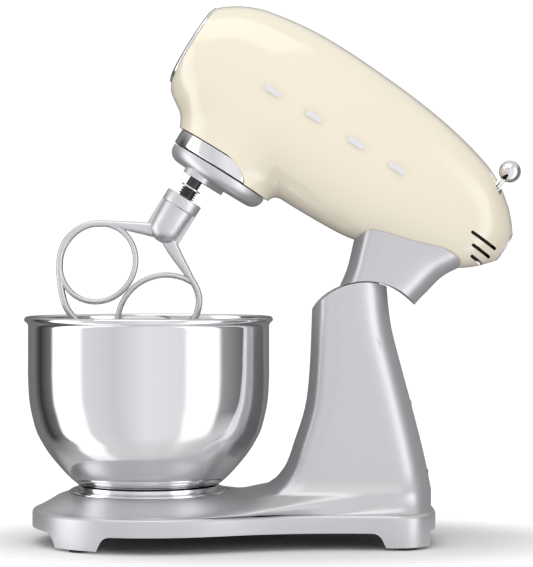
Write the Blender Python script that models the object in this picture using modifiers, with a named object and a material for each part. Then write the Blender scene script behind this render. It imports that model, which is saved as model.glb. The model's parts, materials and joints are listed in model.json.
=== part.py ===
"""A tilt-head stand mixer with its head raised, built as an assembly. Metres, +Z up.

X runs from the nose (-X) to the back (+X). Everything is first set out from the bowl's axis with the head
closed; the head is then tilted about its hinge, and the whole is moved so that the origin is under its middle.
"""

import math

import bmesh
import bpy
from mathutils import Matrix

# Driving dimensions, in metres.
MM = 0.001
GAP = 0.3 * MM  # between pieces that touch
RUN = 0.3 * MM  # radial clearance of turning pieces
WALL = 4.0 * MM  # stand casting
SHELL = 2.5 * MM  # head housing

# Hinge of the head.
PIVOT_X = 196.9 * MM
PIVOT_Z = 177.6 * MM
HEAD_TILT = 32.0  # degrees, open
PIN_R = 6.0 * MM
BUSH_WALL = 1.7 * MM
BOSS_R = 13.0 * MM
KNUCKLE_R = 17.0 * MM
KNUCKLE_HALF = 15.0 * MM
ARC_R = 58.3 * MM  # round top of the column
ARC_GAP = 1.2 * MM  # between the column and the neck

# Base and column.
FRONT_R = 106.0 * MM
REAR_X = 261.0 * MM
REAR_HALF = 76.0 * MM
WAIST_HALF = 72.0 * MM
SKIRT_BOTTOM = 15.0 * MM
SKIRT_TOP = 27.0 * MM
EDGE_Z = 31.0 * MM
SEAT_Z = 45.0 * MM
COLUMN_FOOT_Z = 48.0 * MM
COLUMN_HALF = 38.5 * MM
COLUMN_TOP_Z = 245.0 * MM
LEG_BOTTOM = 2.3 * MM
PAD_TOP = 2.0 * MM
SEAT_R = 73.0 * MM
LEG_X = ((-80.0 * MM, -36.0 * MM), (208.0 * MM, 256.0 * MM))  # front and rear legs
LEG_Y = (58.0 * MM, 50.0 * MM)
LEG_WALL = 1.5 * MM
PAD_AT = ((-57.0 * MM, 78.0 * MM), (232.0 * MM, 60.0 * MM))
PAD_R = 9.0 * MM
COVER_SCREWS = ((-10.0 * MM, 60.0 * MM), (190.0 * MM, 50.0 * MM))
SCREW_R = 2.0 * MM
SEAT_SCREW_R = 4.0 * MM
GLAND_R = 6.0 * MM
GLAND_Z = 60.0 * MM

# Bowl.
BOWL_RIM_R = 113.5 * MM
BOWL_RIM_Z = 202.0 * MM
ROLL_R = 2.8 * MM
BOWL_WALL_R = 110.0 * MM
BOWL_FLOOR_Z = 51.3 * MM
BOWL_SHEET = 1.2 * MM
BOWL_FOOT_R = 64.3 * MM

# Head, closed.
NOSE_X = -80.0 * MM
NOSE_Z = 328.0 * MM
NOSE_R = 40.5 * MM
TAIL_X = 256.5 * MM
TAIL_Z = 322.0 * MM
TAIL_R = 16.0 * MM
TRIM_X = (5.0 * MM, 48.0 * MM, 92.0 * MM, 135.0 * MM)
TRIM_Z = 327.0 * MM
TRIM_LENGTH = 17.0 * MM
TRIM_HEIGHT = 5.0 * MM
VENTS = ((221.0, 250.0, 315.0), (228.0, 250.0, 306.0), (233.0, 248.0, 297.5))  # ends and height, mm
VENT_HEIGHT = 3.0 * MM
VENT_SLOPE = math.radians(-2)
SLOT_HALF = 30.0 * MM  # half the lever's slot

# Planetary drive, about the bowl's axis.
HUB_R = 49.0 * MM
HUB_WALL = 2.5 * MM
LOBE_WALL = 2.5 * MM  # of the shell round the hub
HUB_LOW = 243.5 * MM
HUB_HIGH = 257.0 * MM
DISC_INSET = 1.0 * MM  # of the turning disc from the hub's edge
DISC_LOW = 229.5 * MM
DISC_HIGH = 242.5 * MM
ORBIT_R = 27.75 * MM
SHAFT_X = -12.7 * MM
SHAFT_Y = -math.sqrt(ORBIT_R**2 - SHAFT_X**2)
SHAFT_R = 6.0 * MM
SHAFT_LOW = 178.0 * MM
SHAFT_HIGH = 256.0 * MM
PIN_CROSS_R = 2.0 * MM
PIN_REACH = SHAFT_R + 4.5 * MM
PIN_CROSS_Z = 188.0 * MM
COLLAR_WALL = 10.95 * MM
WASHER_Z = 215.0 * MM
SPRING_WIRE = 0.6 * MM
SPRING_Z = 206.9 * MM
SEAT_FLOOR = SPRING_Z - SPRING_WIRE - 4 * MM  # takes the end of the spring while the beater is pushed up
RING_TEETH = 55
PINION_TEETH = 18
PLANET_MODULE = 2 * ORBIT_R / (RING_TEETH - PINION_TEETH)
MAIN_TEETH = 40
LAY_TEETH = 8
LAY_X = 45.0 * MM
MAIN_MODULE = 2 * LAY_X / (MAIN_TEETH + LAY_TEETH)
GEAR_LOW = 263.0 * MM
GEAR_HIGH = 271.0 * MM
MOTOR_X = 150.0 * MM
BELT_LOW = 352.0 * MM
BELT_HIGH = 361.0 * MM
BIG_PULLEY_R = 30.0 * MM
MOTOR_PULLEY_R = 6.0 * MM
MOTOR_R = 33.0 * MM

# Speed lever.
LEVER_X = 221.0 * MM
LEVER_Z = 322.0 * MM
KNOB_X = 225.5 * MM
KNOB_Z = 383.5 * MM
KNOB_R = 10.0 * MM

# Release button, at the back of the column.
BUTTON_Z = 120.0 * MM
BUTTON_R = 9.0 * MM

# Steps of the curved surfaces
RING_HALF = 14
HEAD_STATIONS = 16
HEAD_SIDES = 24

# The closed drawing frame, seen from the middle of the finished, open mixer.
TILT = math.radians(HEAD_TILT)
KNOB_BACK = (
    PIVOT_X
    + (KNOB_X - PIVOT_X) * math.cos(TILT)
    + (KNOB_Z - PIVOT_Z) * math.sin(TILT)
    + KNOB_R
)
MIDDLE_X = (KNOB_BACK - BOWL_RIM_R) / 2

# Colours, roughness, metallic.
CREAM = ("cream", (0.84, 0.76, 0.58), 0.25, 0.0)
SILVER = ("silver_paint", (0.62, 0.62, 0.63), 0.4, 0.6)
STEEL = ("bright_steel", (0.80, 0.80, 0.82), 0.12, 1.0)
CAST = ("cast_aluminium", (0.60, 0.60, 0.61), 0.45, 1.0)
GREY_STEEL = ("grey_steel", (0.45, 0.46, 0.48), 0.4, 1.0)
RUBBER = ("rubber", (0.03, 0.03, 0.03), 0.8, 0.0)
BRASS = ("brass", (0.70, 0.52, 0.22), 0.4, 1.0)
COPPER = ("winding", (0.55, 0.25, 0.12), 0.5, 0.6)
BLACK = ("black_plastic", (0.04, 0.04, 0.04), 0.5, 0.0)
BOARD = ("board", (0.05, 0.22, 0.10), 0.6, 0.0)

# Collections and materials.


def clear_scene():
    for old in list(bpy.data.objects):
        bpy.data.objects.remove(old, do_unlink=True)


def collection(name):
    made = bpy.data.collections.new(name)
    bpy.context.scene.collection.children.link(made)
    return made


clear_scene()
PARTS = collection("stand_mixer")
CUTTERS = collection("cutters")
MATERIALS = {}


def material(finish):
    name, colour, roughness, metallic = finish
    if name not in MATERIALS:
        made = bpy.data.materials.new(name)
        made.use_nodes = True
        shader = made.node_tree.nodes["Principled BSDF"]
        shader.inputs["Base Color"].default_value = (*colour, 1.0)
        shader.inputs["Roughness"].default_value = roughness
        shader.inputs["Metallic"].default_value = metallic
        MATERIALS[name] = made
    return MATERIALS[name]


# Shapes. Each returns an object in the drawing frame.


def from_bmesh(name, bm, smooth=True):
    mesh = bpy.data.meshes.new(name)
    bm.normal_update()
    bm.to_mesh(mesh)
    bm.free()
    if smooth:
        mesh.shade_smooth()
        mesh.set_sharp_from_angle(angle=math.radians(35))
    made = bpy.data.objects.new(name, mesh)
    PARTS.objects.link(made)
    return made


def box(name, x, y, z):
    """A block between pairs of limits along X, Y and Z."""
    bm = bmesh.new()
    size = [high - low for low, high in (x, y, z)]
    middle = [(low + high) / 2 for low, high in (x, y, z)]
    bmesh.ops.create_cube(bm, size=1.0, matrix=Matrix.LocRotScale(middle, None, size))
    return from_bmesh(name, bm, smooth=False)


TURN = {"X": Matrix.Rotation(math.pi / 2, 4, "Y"), "Y": Matrix.Rotation(-math.pi / 2, 4, "X"), "Z": Matrix()}


def rod(name, radius, low, high, at=(0.0, 0.0), along="Z", segments=20):
    """A round bar between two heights along an axis; at gives the other two coordinates, in X, Y, Z order."""
    place = {"X": (0, *at), "Y": (at[0], 0, at[1]), "Z": (*at, 0)}[along]
    middle = Matrix.Translation((0, 0, (low + high) / 2))
    bm = bmesh.new()
    bmesh.ops.create_cone(
        bm,
        cap_ends=True,
        segments=segments,
        radius1=radius,
        radius2=radius,
        depth=high - low,
        matrix=Matrix.Translation(place) @ TURN[along] @ middle,
    )
    return from_bmesh(name, bm)


def turned(name, profile, at=(0.0, 0.0, 0.0), along="Z", steps=20, closed=False):
    """A profile of (radius, height) points turned about an axis; the outer side is listed from top to bottom."""
    bm = bmesh.new()
    points = [bm.verts.new((radius, 0, height)) for radius, height in profile]
    for first, second in zip(points, points[1:]):
        bm.edges.new((first, second))
    if closed:
        bm.edges.new((points[-1], points[0]))
    made = from_bmesh(name, bm, smooth=False)
    screw = made.modifiers.new("turn", "SCREW")
    screw.steps = steps
    screw.render_steps = steps
    screw.use_merge_vertices = True
    screw.merge_threshold = 0.00001
    screw.use_smooth_shade = True
    made.matrix_world = Matrix.Translation(at) @ TURN[along]
    return made


def ring(name, inner, outer, low, high, at=(0.0, 0.0, 0.0), along="Z", steps=20):
    """A plain turned ring."""
    profile = [(outer, high), (outer, low), (inner, low), (inner, high)]
    return turned(name, profile, at, along, steps, closed=True)


def as_mesh(made):
    """Turns a curve or a modified object into a plain mesh object of the same name."""
    bpy.context.view_layer.update()
    graph = bpy.context.evaluated_depsgraph_get()
    mesh = bpy.data.meshes.new_from_object(made.evaluated_get(graph))
    bm = bmesh.new()
    bm.from_mesh(mesh)
    bmesh.ops.remove_doubles(bm, verts=bm.verts, dist=0.00001)
    bm.to_mesh(mesh)
    bm.free()
    name = made.name
    place = made.matrix_world.copy()
    bpy.data.objects.remove(made, do_unlink=True)
    solid = bpy.data.objects.new(name, mesh)
    solid.matrix_world = place
    PARTS.objects.link(solid)
    return solid


def plate(name, outlines, low, high, along="Z"):
    """A flat outline, with any holes, between two heights; along Y the outline's points are (x, z)."""
    curve = bpy.data.curves.new(name, "CURVE")
    curve.dimensions = "2D"
    curve.fill_mode = "BOTH"
    curve.extrude = (high - low) / 2
    for outline in outlines:
        spline = curve.splines.new("POLY")
        spline.points.add(len(outline) - 1)
        spline.use_cyclic_u = True
        for point, (first, second) in zip(spline.points, outline):
            point.co = (first, second, 0, 1)
    made = bpy.data.objects.new(name, curve)
    PARTS.objects.link(made)
    middle = (low + high) / 2
    if along == "Y":
        made.matrix_world = Matrix.Translation((0, middle, 0)) @ Matrix.Rotation(math.pi / 2, 4, "X")
    else:
        made.location = (0, 0, middle)
    return as_mesh(made)


def loft(name, rings):
    """A closed skin through rings of equal point counts, with flat ends."""
    bm = bmesh.new()
    rows = [[bm.verts.new(point) for point in one] for one in rings]
    for lower, upper in zip(rows, rows[1:]):
        for i in range(len(lower)):
            j = (i + 1) % len(lower)
            bm.faces.new((lower[i], lower[j], upper[j], upper[i]))
    bm.faces.new(rows[0][::-1])
    bm.faces.new(rows[-1])
    bmesh.ops.recalc_face_normals(bm, faces=bm.faces)
    return from_bmesh(name, bm)


def wire(name, points, radius, cyclic=False, resolution=2):
    """A round wire along points."""
    curve = bpy.data.curves.new(name, "CURVE")
    curve.dimensions = "3D"
    curve.bevel_depth = radius
    curve.bevel_resolution = resolution
    curve.use_fill_caps = True
    spline = curve.splines.new("POLY")
    spline.points.add(len(points) - 1)
    spline.use_cyclic_u = cyclic
    for point, place in zip(spline.points, points):
        point.co = (*place, 1)
    made = bpy.data.objects.new(name, curve)
    PARTS.objects.link(made)
    return as_mesh(made)


def combine(body, operation, tools):
    """Cuts tools from a body, or joins them to it; they stay in the cutters' collection."""
    for tool in tools:
        PARTS.objects.unlink(tool)
        CUTTERS.objects.link(tool)
        tool.hide_render = True
        tool.display_type = "WIRE"
        modifier = body.modifiers.new(tool.name, "BOOLEAN")
        modifier.operation = operation
        modifier.object = tool
    return body


def cut(body, *tools):
    return combine(body, "DIFFERENCE", tools)


def join(body, *tools):
    return combine(body, "UNION", tools)


def finish(body, look):
    body.data.materials.clear()
    body.data.materials.append(material(look))
    return body


def curve_through(points):
    """A smooth function of x through (x, value) points, flat beyond its ends."""

    def slope(i):
        low, high = max(i - 1, 0), min(i + 1, len(points) - 1)
        return (points[high][1] - points[low][1]) / (points[high][0] - points[low][0])

    def value(x):
        if x <= points[0][0]:
            return points[0][1]
        if x >= points[-1][0]:
            return points[-1][1]
        i = max(k for k, point in enumerate(points) if point[0] <= x)
        (x0, v0), (x1, v1) = points[i], points[i + 1]
        span = x1 - x0
        t = (x - x0) / span
        return (
            v0 * (1 + 2 * t) * (1 - t) ** 2
            + v1 * t * t * (3 - 2 * t)
            + slope(i) * span * t * (1 - t) ** 2
            - slope(i + 1) * span * t * t * (1 - t)
        )

    return value


def smooth_step(low, high, x):
    t = min(max((x - low) / (high - low), 0.0), 1.0)
    return t * t * (3 - 2 * t)


def circle(radius, count, at=(0.0, 0.0)):
    return [
        (at[0] + radius * math.cos(2 * math.pi * i / count), at[1] + radius * math.sin(2 * math.pi * i / count))
        for i in range(count)
    ]


# Stand: base and column.

base_side = curve_through(
    [(0, FRONT_R), (25 * MM, FRONT_R - 1.5 * MM), (50 * MM, FRONT_R - 7 * MM), (80 * MM, WAIST_HALF + 16 * MM),
     (110 * MM, WAIST_HALF + 7 * MM), (140 * MM, WAIST_HALF + 2 * MM), (170 * MM, WAIST_HALF),
     (200 * MM, WAIST_HALF + 0.3 * (REAR_HALF - WAIST_HALF)), (225 * MM, REAR_HALF - 0.5 * MM), (REAR_X, REAR_HALF)]
)
column_front = curve_through(
    [(48 * MM, 105 * MM), (55 * MM, 115 * MM), (68 * MM, 125 * MM), (90 * MM, 133 * MM), (120 * MM, 142.5 * MM),
     (150 * MM, 146.5 * MM), (205 * MM, 149 * MM), (COLUMN_TOP_Z, 150 * MM)]
)
column_rear = curve_through(
    [(48 * MM, 257.5 * MM), (78 * MM, 251.5 * MM), (120 * MM, 241 * MM), (165 * MM, 229 * MM), (198 * MM, 221 * MM),
     (COLUMN_TOP_Z, 216 * MM)]
)
column_half = curve_through(
    [(48 * MM, 61 * MM), (60 * MM, 55 * MM), (80 * MM, 50.5 * MM), (110 * MM, 46.5 * MM), (160 * MM, 41.5 * MM),
     (205 * MM, 39 * MM), (COLUMN_TOP_Z, COLUMN_HALF)]
)


def base_half(x, inset):
    """Half-width of the base: a round front that narrows to a waist, and a squarer back."""
    front, back = FRONT_R - inset, REAR_X - inset
    side = base_side(x) - inset
    if x < 20 * MM:
        round_front = math.sqrt(max(front**2 - x**2, 0.0))
        side = round_front + (side - round_front) * smooth_step(-10 * MM, 20 * MM, x)
    corner = 42 * MM
    if x > back - corner:
        side *= max(1 - ((x - back + corner) / corner) ** 2.6, 0.0) ** (1 / 2.6)
    return max(side, 0.0)


def column_side(x, low, high, half):
    """Half-width of a column section: small round corners in front and large ones behind."""
    front, back = 14 * MM, 34 * MM
    if x < low + front:
        return half * max(1 - ((low + front - x) / front) ** 2.2, 0.0) ** (1 / 2.2) * 0.98
    if x > high - back:
        return half * max(1 - ((x - high + back) / back) ** 2.4, 0.0) ** (1 / 2.4)
    return half * (0.98 + 0.02 * smooth_step(low + front, low + 2 * front, x))


def section(low, high, half_at, height_at):
    """A closed loop of points from the front round one side to the back and round the other."""
    side = []
    for i in range(RING_HALF + 1):
        x = low + (high - low) * (1 - math.cos(math.pi * i / RING_HALF)) / 2
        side.append((x, 0.0 if i in (0, RING_HALF) else half_at(x)))
    loop = [(x, -y) for x, y in side] + [(x, y) for x, y in side[-2:0:-1]]
    return [(x, y, height_at(x, y)) for x, y in loop]


def base_top(x, y, share):
    """Height of the base's top: a round rise under the bowl, and behind it a hollow rise to the column's foot."""
    dome = 1 - smooth_step(SEAT_R, FRONT_R, math.hypot(x, y))
    rise = share**1.7 * smooth_step(0, 110 * MM, x)
    return EDGE_Z + (SEAT_Z - EDGE_Z) * (1 - (1 - dome) * (1 - rise))


def stand_solid(name, inset, bottom):
    """The stand as one solid, drawn in by a wall's thickness when it is the hollow inside."""
    back = REAR_X - inset
    rings = []
    for height, draw_in in ((bottom, 0), (SKIRT_TOP, 0), (EDGE_Z - MM, 1.2 * MM), (EDGE_Z, 4 * MM)):
        edge = inset + draw_in
        z = max(height - inset, bottom)
        rings.append(
            section(-FRONT_R + edge, back - draw_in, lambda x, e=edge: base_half(x, e), lambda x, y, z=z: z)
        )
    foot_low = column_front(COLUMN_FOOT_Z) + inset
    foot_high = column_rear(COLUMN_FOOT_Z) - inset
    foot_half = column_half(COLUMN_FOOT_Z) - inset
    for share in (0.08, 0.22, 0.45, 0.7, 0.88):
        low = -FRONT_R + inset + 4 * MM + (foot_low + FRONT_R - inset - 4 * MM) * share
        high = back - 4 * MM + (foot_high - back + 4 * MM) * share

        def half_at(x, low=low, high=high, share=share):
            along = (x - low) / (high - low)
            edge = inset + 4 * MM
            wide = base_half(edge - FRONT_R + (REAR_X + FRONT_R - 2 * edge) * along, edge)
            narrow = column_side(foot_low + (foot_high - foot_low) * along, foot_low, foot_high, foot_half)
            return wide + (narrow - wide) * share**1.3

        def height_at(x, y, share=share):
            return base_top(x, y, share) + (COLUMN_FOOT_Z - SEAT_Z) * share**4 - inset

        rings.append(section(low, high, half_at, height_at))
    for height in (48, 56, 72, 100, 145, 200, COLUMN_TOP_Z / MM):
        z = height * MM
        low, high, half = column_front(z) + inset, column_rear(z) - inset, column_half(z) - inset
        drop = inset * (1 - smooth_step(COLUMN_FOOT_Z, 90 * MM, z))
        rings.append(
            section(low, high, lambda x, a=low, b=high, h=half: column_side(x, a, b, h), lambda x, y, z=z - drop: z)
        )
    return loft(name, rings)


def above_arc(name, radius, half):
    """Everything above a round top of this radius about the hinge."""
    steps = 16
    first, last = math.radians(178), math.radians(2)
    arc = [
        (
            PIVOT_X + radius * math.cos(first + (last - first) * i / steps),
            PIVOT_Z + radius * math.sin(first + (last - first) * i / steps),
        )
        for i in range(steps + 1)
    ]
    reach = radius + 60 * MM
    outline = [
        (PIVOT_X - reach, arc[0][1]), *arc, (PIVOT_X + reach, arc[-1][1]),
        (PIVOT_X + reach, PIVOT_Z + reach), (PIVOT_X - reach, PIVOT_Z + reach),
    ]
    return plate(name, [outline], -half, half, along="Y")


def legs(name, low, high, grow=0.0):
    """Blocks that hold the four legs, one at each corner of the base."""
    return [
        box(
            f"{name}_{i}{side:+d}",
            (LEG_X[i][0] - grow, LEG_X[i][1] + grow),
            sorted((side * (LEG_Y[i] - grow), side * 130 * MM)),
            (low, high),
        )
        for i in (0, 1)
        for side in (-1, 1)
    ]


def pivot_boss(name, side):
    """Carries a hinge bush, on the inside of the column's wall."""
    near, far = KNUCKLE_HALF + 1.5 * MM, COLUMN_HALF - 2 * MM
    return rod(name, BOSS_R, *sorted((side * near, side * far)), at=(PIVOT_X, PIVOT_Z), along="Y")


def knuckle_slot():
    """Room for the head's knuckle to swing through the column's round top."""
    half = KNUCKLE_HALF + MM
    low, high = math.radians(70), math.radians(139)
    reach = ARC_R + 8 * MM
    steps = 8
    turns = [low + (high - low) * i / steps for i in range(steps + 1)]
    arc = [(PIVOT_X + reach * math.cos(turn), PIVOT_Z + reach * math.sin(turn)) for turn in turns]
    inner = ARC_R - WALL - 6 * MM
    ends = [
        (PIVOT_X + inner * math.cos(high), PIVOT_Z + inner * math.sin(high)),
        (PIVOT_X + inner * math.cos(low), PIVOT_Z + inner * math.sin(low)),
    ]
    return plate("knuckle_slot", [arc + ends], -half, half, along="Y")


def stand_casting():
    """Base and column: one hollow casting with four legs, bosses for the hinge and a seat for the bowl."""
    body = stand_solid("stand_casting", 0, LEG_BOTTOM)
    under = box("under_base", (-130 * MM, 300 * MM), (-130 * MM, 130 * MM), (-5 * MM, SKIRT_BOTTOM))
    cut(under, *legs("leg_room", -10 * MM, SKIRT_BOTTOM + 5 * MM))
    hollow = stand_solid("hollow", WALL, -5 * MM)
    cut(hollow, *legs("leg_block", -10 * MM, EDGE_Z + 10 * MM, LEG_WALL))
    cut(hollow, above_arc("hollow_top", ARC_R - WALL, 60 * MM))
    cut(body, under, hollow, above_arc("column_top", ARC_R, 80 * MM), knuckle_slot())
    join(body, pivot_boss("boss_left", -1), pivot_boss("boss_right", 1))
    bush = PIN_R + RUN + BUSH_WALL + RUN
    for side in (-1, 1):
        reach = sorted((side * KNUCKLE_HALF, side * (COLUMN_HALF - WALL)))
        cut(body, rod(f"bush_hole{side:+d}", bush, *reach, at=(PIVOT_X, PIVOT_Z), along="Y"))
    cut(body, rod("seat_pocket", SEAT_R + GAP, SEAT_Z, SEAT_Z + 6 * MM, segments=48))
    cut(body, rod("seat_screw_hole", SEAT_SCREW_R + MM, 20 * MM, SEAT_Z + 2 * MM, segments=16))
    button = rod("button_hole", BUTTON_R + GAP, 215 * MM, 270 * MM, at=(0, BUTTON_Z), along="X")
    gland = rod("gland_hole", GLAND_R, 235 * MM, 275 * MM, at=(0, GLAND_Z), along="X", segments=24)
    return finish(cut(body, button, gland), SILVER)


def base_parts():
    """What closes and carries the base."""
    edge = WALL + GAP + 0.7 * MM
    rim = section(-FRONT_R + edge, REAR_X - edge, lambda x: base_half(x, edge), lambda x, y: 0)
    outline = [(x, y) for x, y, _ in rim]
    cover = plate("base_bottom_cover", [outline], SKIRT_BOTTOM + MM, SKIRT_BOTTOM + 3.5 * MM)
    cut(cover, *legs("cover_leg_room", 0, EDGE_Z + 5 * MM, LEG_WALL + GAP))
    high, under, low = SKIRT_BOTTOM + 7 * MM, SKIRT_BOTTOM + 0.7 * MM, SKIRT_BOTTOM - 1.6 * MM
    head = [(0, high), (SCREW_R, high), (SCREW_R, under), (2 * SCREW_R, under), (2 * SCREW_R, low), (0, low)]
    for i, (x, y) in enumerate([(x, side * y) for x, y in COVER_SCREWS for side in (-1, 1)]):
        cut(cover, rod(f"screw_hole_{i}", SCREW_R + 0.5 * MM, 0, EDGE_Z, at=(x, y), segments=12))
        finish(turned(f"cover_screw_{i + 1}", head, at=(x, y, 0), steps=12), GREY_STEEL)
    finish(cover, BLACK)
    pad = [(0, PAD_TOP), (PAD_R - MM, PAD_TOP), (PAD_R, 0.6 * PAD_TOP), (PAD_R, 0), (0, 0)]
    for i, (x, y) in enumerate([(x, side * y) for x, y in PAD_AT for side in (-1, 1)]):
        finish(turned(f"foot_pad_{i + 1}", pad, at=(x, y, 0), steps=20), RUBBER)
    low = SEAT_Z + GAP
    lip, hole = BOWL_FOOT_R + 0.5 * MM, SEAT_SCREW_R + 2 * MM
    seat = [(lip, low + 2.7 * MM), (SEAT_R - 4 * MM, low + 2.7 * MM), (SEAT_R - GAP, low + MM), (SEAT_R - GAP, low)]
    seat += [(hole, low), (hole, low + 0.9 * MM), (lip, low + 0.9 * MM)]
    finish(turned("bowl_seat_plate", seat, steps=48, closed=True), STEEL)
    head, stem = SEAT_SCREW_R + MM, SEAT_SCREW_R
    screw = [(0, low + 2.6 * MM), (head, low + 2.2 * MM), (head, low + 1.2 * MM), (stem, low + MM)]
    screw += [(stem, low - 15.3 * MM), (0, low - 15.3 * MM)]
    finish(turned("seat_screw", screw, steps=20), GREY_STEEL)


def column_parts():
    """Hinge pin and bushes, gland, terminals and the head's release."""
    reach = COLUMN_HALF - WALL - 1.5 * MM
    finish(rod("hinge_pin", PIN_R, -reach, reach, at=(PIVOT_X, PIVOT_Z), along="Y"), GREY_STEEL)
    for name, side in (("hinge_bush_left", -1), ("hinge_bush_right", 1)):
        low, high = sorted((side * (KNUCKLE_HALF + 2 * MM), side * reach))
        bore = PIN_R + RUN
        bush = ring(name, bore, bore + BUSH_WALL, low, high, at=(PIVOT_X, 0, PIVOT_Z), along="Y", steps=20)
        finish(bush, BRASS)
    back = column_rear(GLAND_Z)
    neck, bore = GLAND_R - GAP, GLAND_R - 2.5 * MM
    gland = [(neck - 0.7 * MM, back), (neck, back - MM), (neck, back - 12 * MM), (bore, back - 12 * MM), (bore, back)]
    finish(turned("cable_gland", gland, at=(0, 0, GLAND_Z), along="X", steps=24, closed=True), RUBBER)
    finish(box("terminal_block", (205 * MM, 225 * MM), (-16 * MM, 16 * MM), (60 * MM, 78 * MM)), BLACK)
    plate_back = column_rear(BUTTON_Z)
    face, inside, end = plate_back - MM, plate_back - 10 * MM, plate_back - 26 * MM
    button = [(0, face), (BUTTON_R - 1.5 * MM, face), (BUTTON_R, face - 1.5 * MM), (BUTTON_R, inside)]
    button += [(4 * MM, inside), (4 * MM, end), (0, end)]
    finish(turned("release_button", button, at=(0, 0, BUTTON_Z), along="X", steps=24), SILVER)
    coil_low, coil_high = plate_back - 24 * MM, plate_back - 11.5 * MM
    turns, per_turn = 3, 10
    coil = [
        (
            coil_low + (coil_high - coil_low) * i / (turns * per_turn),
            5.6 * MM * math.cos(2 * math.pi * i / per_turn),
            BUTTON_Z + 5.6 * MM * math.sin(2 * math.pi * i / per_turn),
        )
        for i in range(turns * per_turn + 1)
    ]
    finish(wire("release_spring", coil, 0.6 * MM, resolution=1), GREY_STEEL)


# Head, drawn closed.

head_top = curve_through(
    [(-80 * MM, 368.5 * MM), (-75 * MM, 373 * MM), (-60 * MM, 382.5 * MM), (-40 * MM, 390 * MM), (0, 396.5 * MM),
     (35 * MM, 398 * MM), (80 * MM, 396.5 * MM), (120 * MM, 393.5 * MM), (160 * MM, 388 * MM), (200 * MM, 378.5 * MM),
     (220 * MM, 370 * MM), (240 * MM, 356 * MM), (250 * MM, 346 * MM), (TAIL_X, TAIL_Z + TAIL_R)]
)
head_bottom = curve_through(
    [(-80 * MM, 287.5 * MM), (-76 * MM, 281 * MM), (-60 * MM, 270 * MM), (-50 * MM, 263 * MM), (-30 * MM, 258 * MM),
     (20 * MM, 253 * MM), (60 * MM, 251 * MM), (110 * MM, 252 * MM), (135 * MM, 254.5 * MM), (150 * MM, 260 * MM),
     (180 * MM, 267 * MM), (205 * MM, 274 * MM), (230 * MM, 282.5 * MM), (245 * MM, 293.5 * MM),
     (TAIL_X, TAIL_Z - TAIL_R)]
)
head_half = curve_through(
    [(NOSE_X, NOSE_R), (-70 * MM, 46.5 * MM), (-55 * MM, 51.5 * MM), (-30 * MM, 55 * MM), (10 * MM, 58 * MM),
     (60 * MM, 60 * MM), (110 * MM, 60 * MM), (150 * MM, 58.5 * MM), (185 * MM, 55 * MM), (212 * MM, 50 * MM),
     (232 * MM, 43 * MM), (247 * MM, 31 * MM), (TAIL_X, TAIL_R)]
)


def head_section(x, grow):
    """A rounded cross-section of the head, rounder at its ends."""
    power = 2 + 0.35 * smooth_step(-80 * MM, -40 * MM, x) * (1 - smooth_step(215 * MM, 255 * MM, x))
    top, bottom, half = head_top(x) + grow, head_bottom(x) - grow, head_half(x) + grow
    points = []
    for i in range(HEAD_SIDES):
        turn = 2 * math.pi * i / HEAD_SIDES
        across, up = math.cos(turn), math.sin(turn)
        y = half * math.copysign(abs(across) ** (2 / power), across)
        z = (top + bottom) / 2 + (top - bottom) / 2 * math.copysign(abs(up) ** (2 / power), up)
        points.append((x, y, z))
    return points


def head_solid(name, grow):
    """The head's outer form, or the same drawn in by a wall's thickness."""
    low, high = NOSE_X - grow, TAIL_X + grow
    rings = []
    for i in range(HEAD_STATIONS + 1):
        share = (1 - math.cos(math.pi * i / HEAD_STATIONS)) / 2
        share = 0.65 * share + 0.35 * i / HEAD_STATIONS
        x = low + (high - low) * share
        rings.append([(x, y, z) for _, y, z in head_section(NOSE_X + (TAIL_X - NOSE_X) * share, grow)])
    return loft(name, rings)


def rounded_bar(name, x, z, length, height, low, high, slope=0.0):
    """A round-ended bar lying along the head's side, between two distances from its middle."""
    steps = 6
    radius = height / 2
    points = []
    for end in (1, -1):
        for i in range(steps + 1):
            turn = -math.pi / 2 + math.pi * i / steps
            points.append((end * (length / 2 - radius + radius * math.cos(turn)), end * radius * math.sin(turn)))
    c, s = math.cos(slope), math.sin(slope)
    outline = [(x + a * c - b * s, z + a * s + b * c) for a, b in points]
    return plate(name, [outline], low, high, along="Y")


def head_housing():
    """The cream shell, open under the hub, at its two round ends, and at its slots."""
    body = head_solid("head_housing", 0)
    join(body, rod("lobe", HUB_R + LOBE_WALL, HUB_LOW, 296 * MM, segments=48))
    front = [(-70, 257.9), (0, 257.8), (12, 255), (20, 251), (25, 247), (28.5, 240), (-70, 240)]
    cut(
        body,
        head_solid("head_hollow", -SHELL),
        rod("gear_room", HUB_R - MM, 250 * MM, 293 * MM, segments=48),
        rod("hub_room", HUB_R + GAP, 230 * MM, HUB_HIGH + GAP, segments=48),
        plate("open_front", [[(x * MM, z * MM) for x, z in front]], -70 * MM, 70 * MM, along="Y"),
        rod("nose_opening", 30 * MM, -95 * MM, -72 * MM, at=(0, NOSE_Z), along="X"),
        rod("tail_opening", 10 * MM, 250 * MM, 265 * MM, at=(0, TAIL_Z), along="X", segments=20),
        box("lever_slot", (218.5 * MM, 227 * MM), (-SLOT_HALF, SLOT_HALF), (345 * MM, 385 * MM)),
        box("cable_opening", (165 * MM, 195 * MM), (-12 * MM, 12 * MM), (250 * MM, 285 * MM)),
    )
    for i, (low, high, z) in enumerate(VENTS):
        middle, length = (low + high) / 2 * MM, (high - low) * MM
        cut(body, rounded_bar(f"vent_{i}", middle, z * MM, length, VENT_HEIGHT, -70 * MM, 70 * MM, VENT_SLOPE))
    return finish(body, CREAM)


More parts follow.
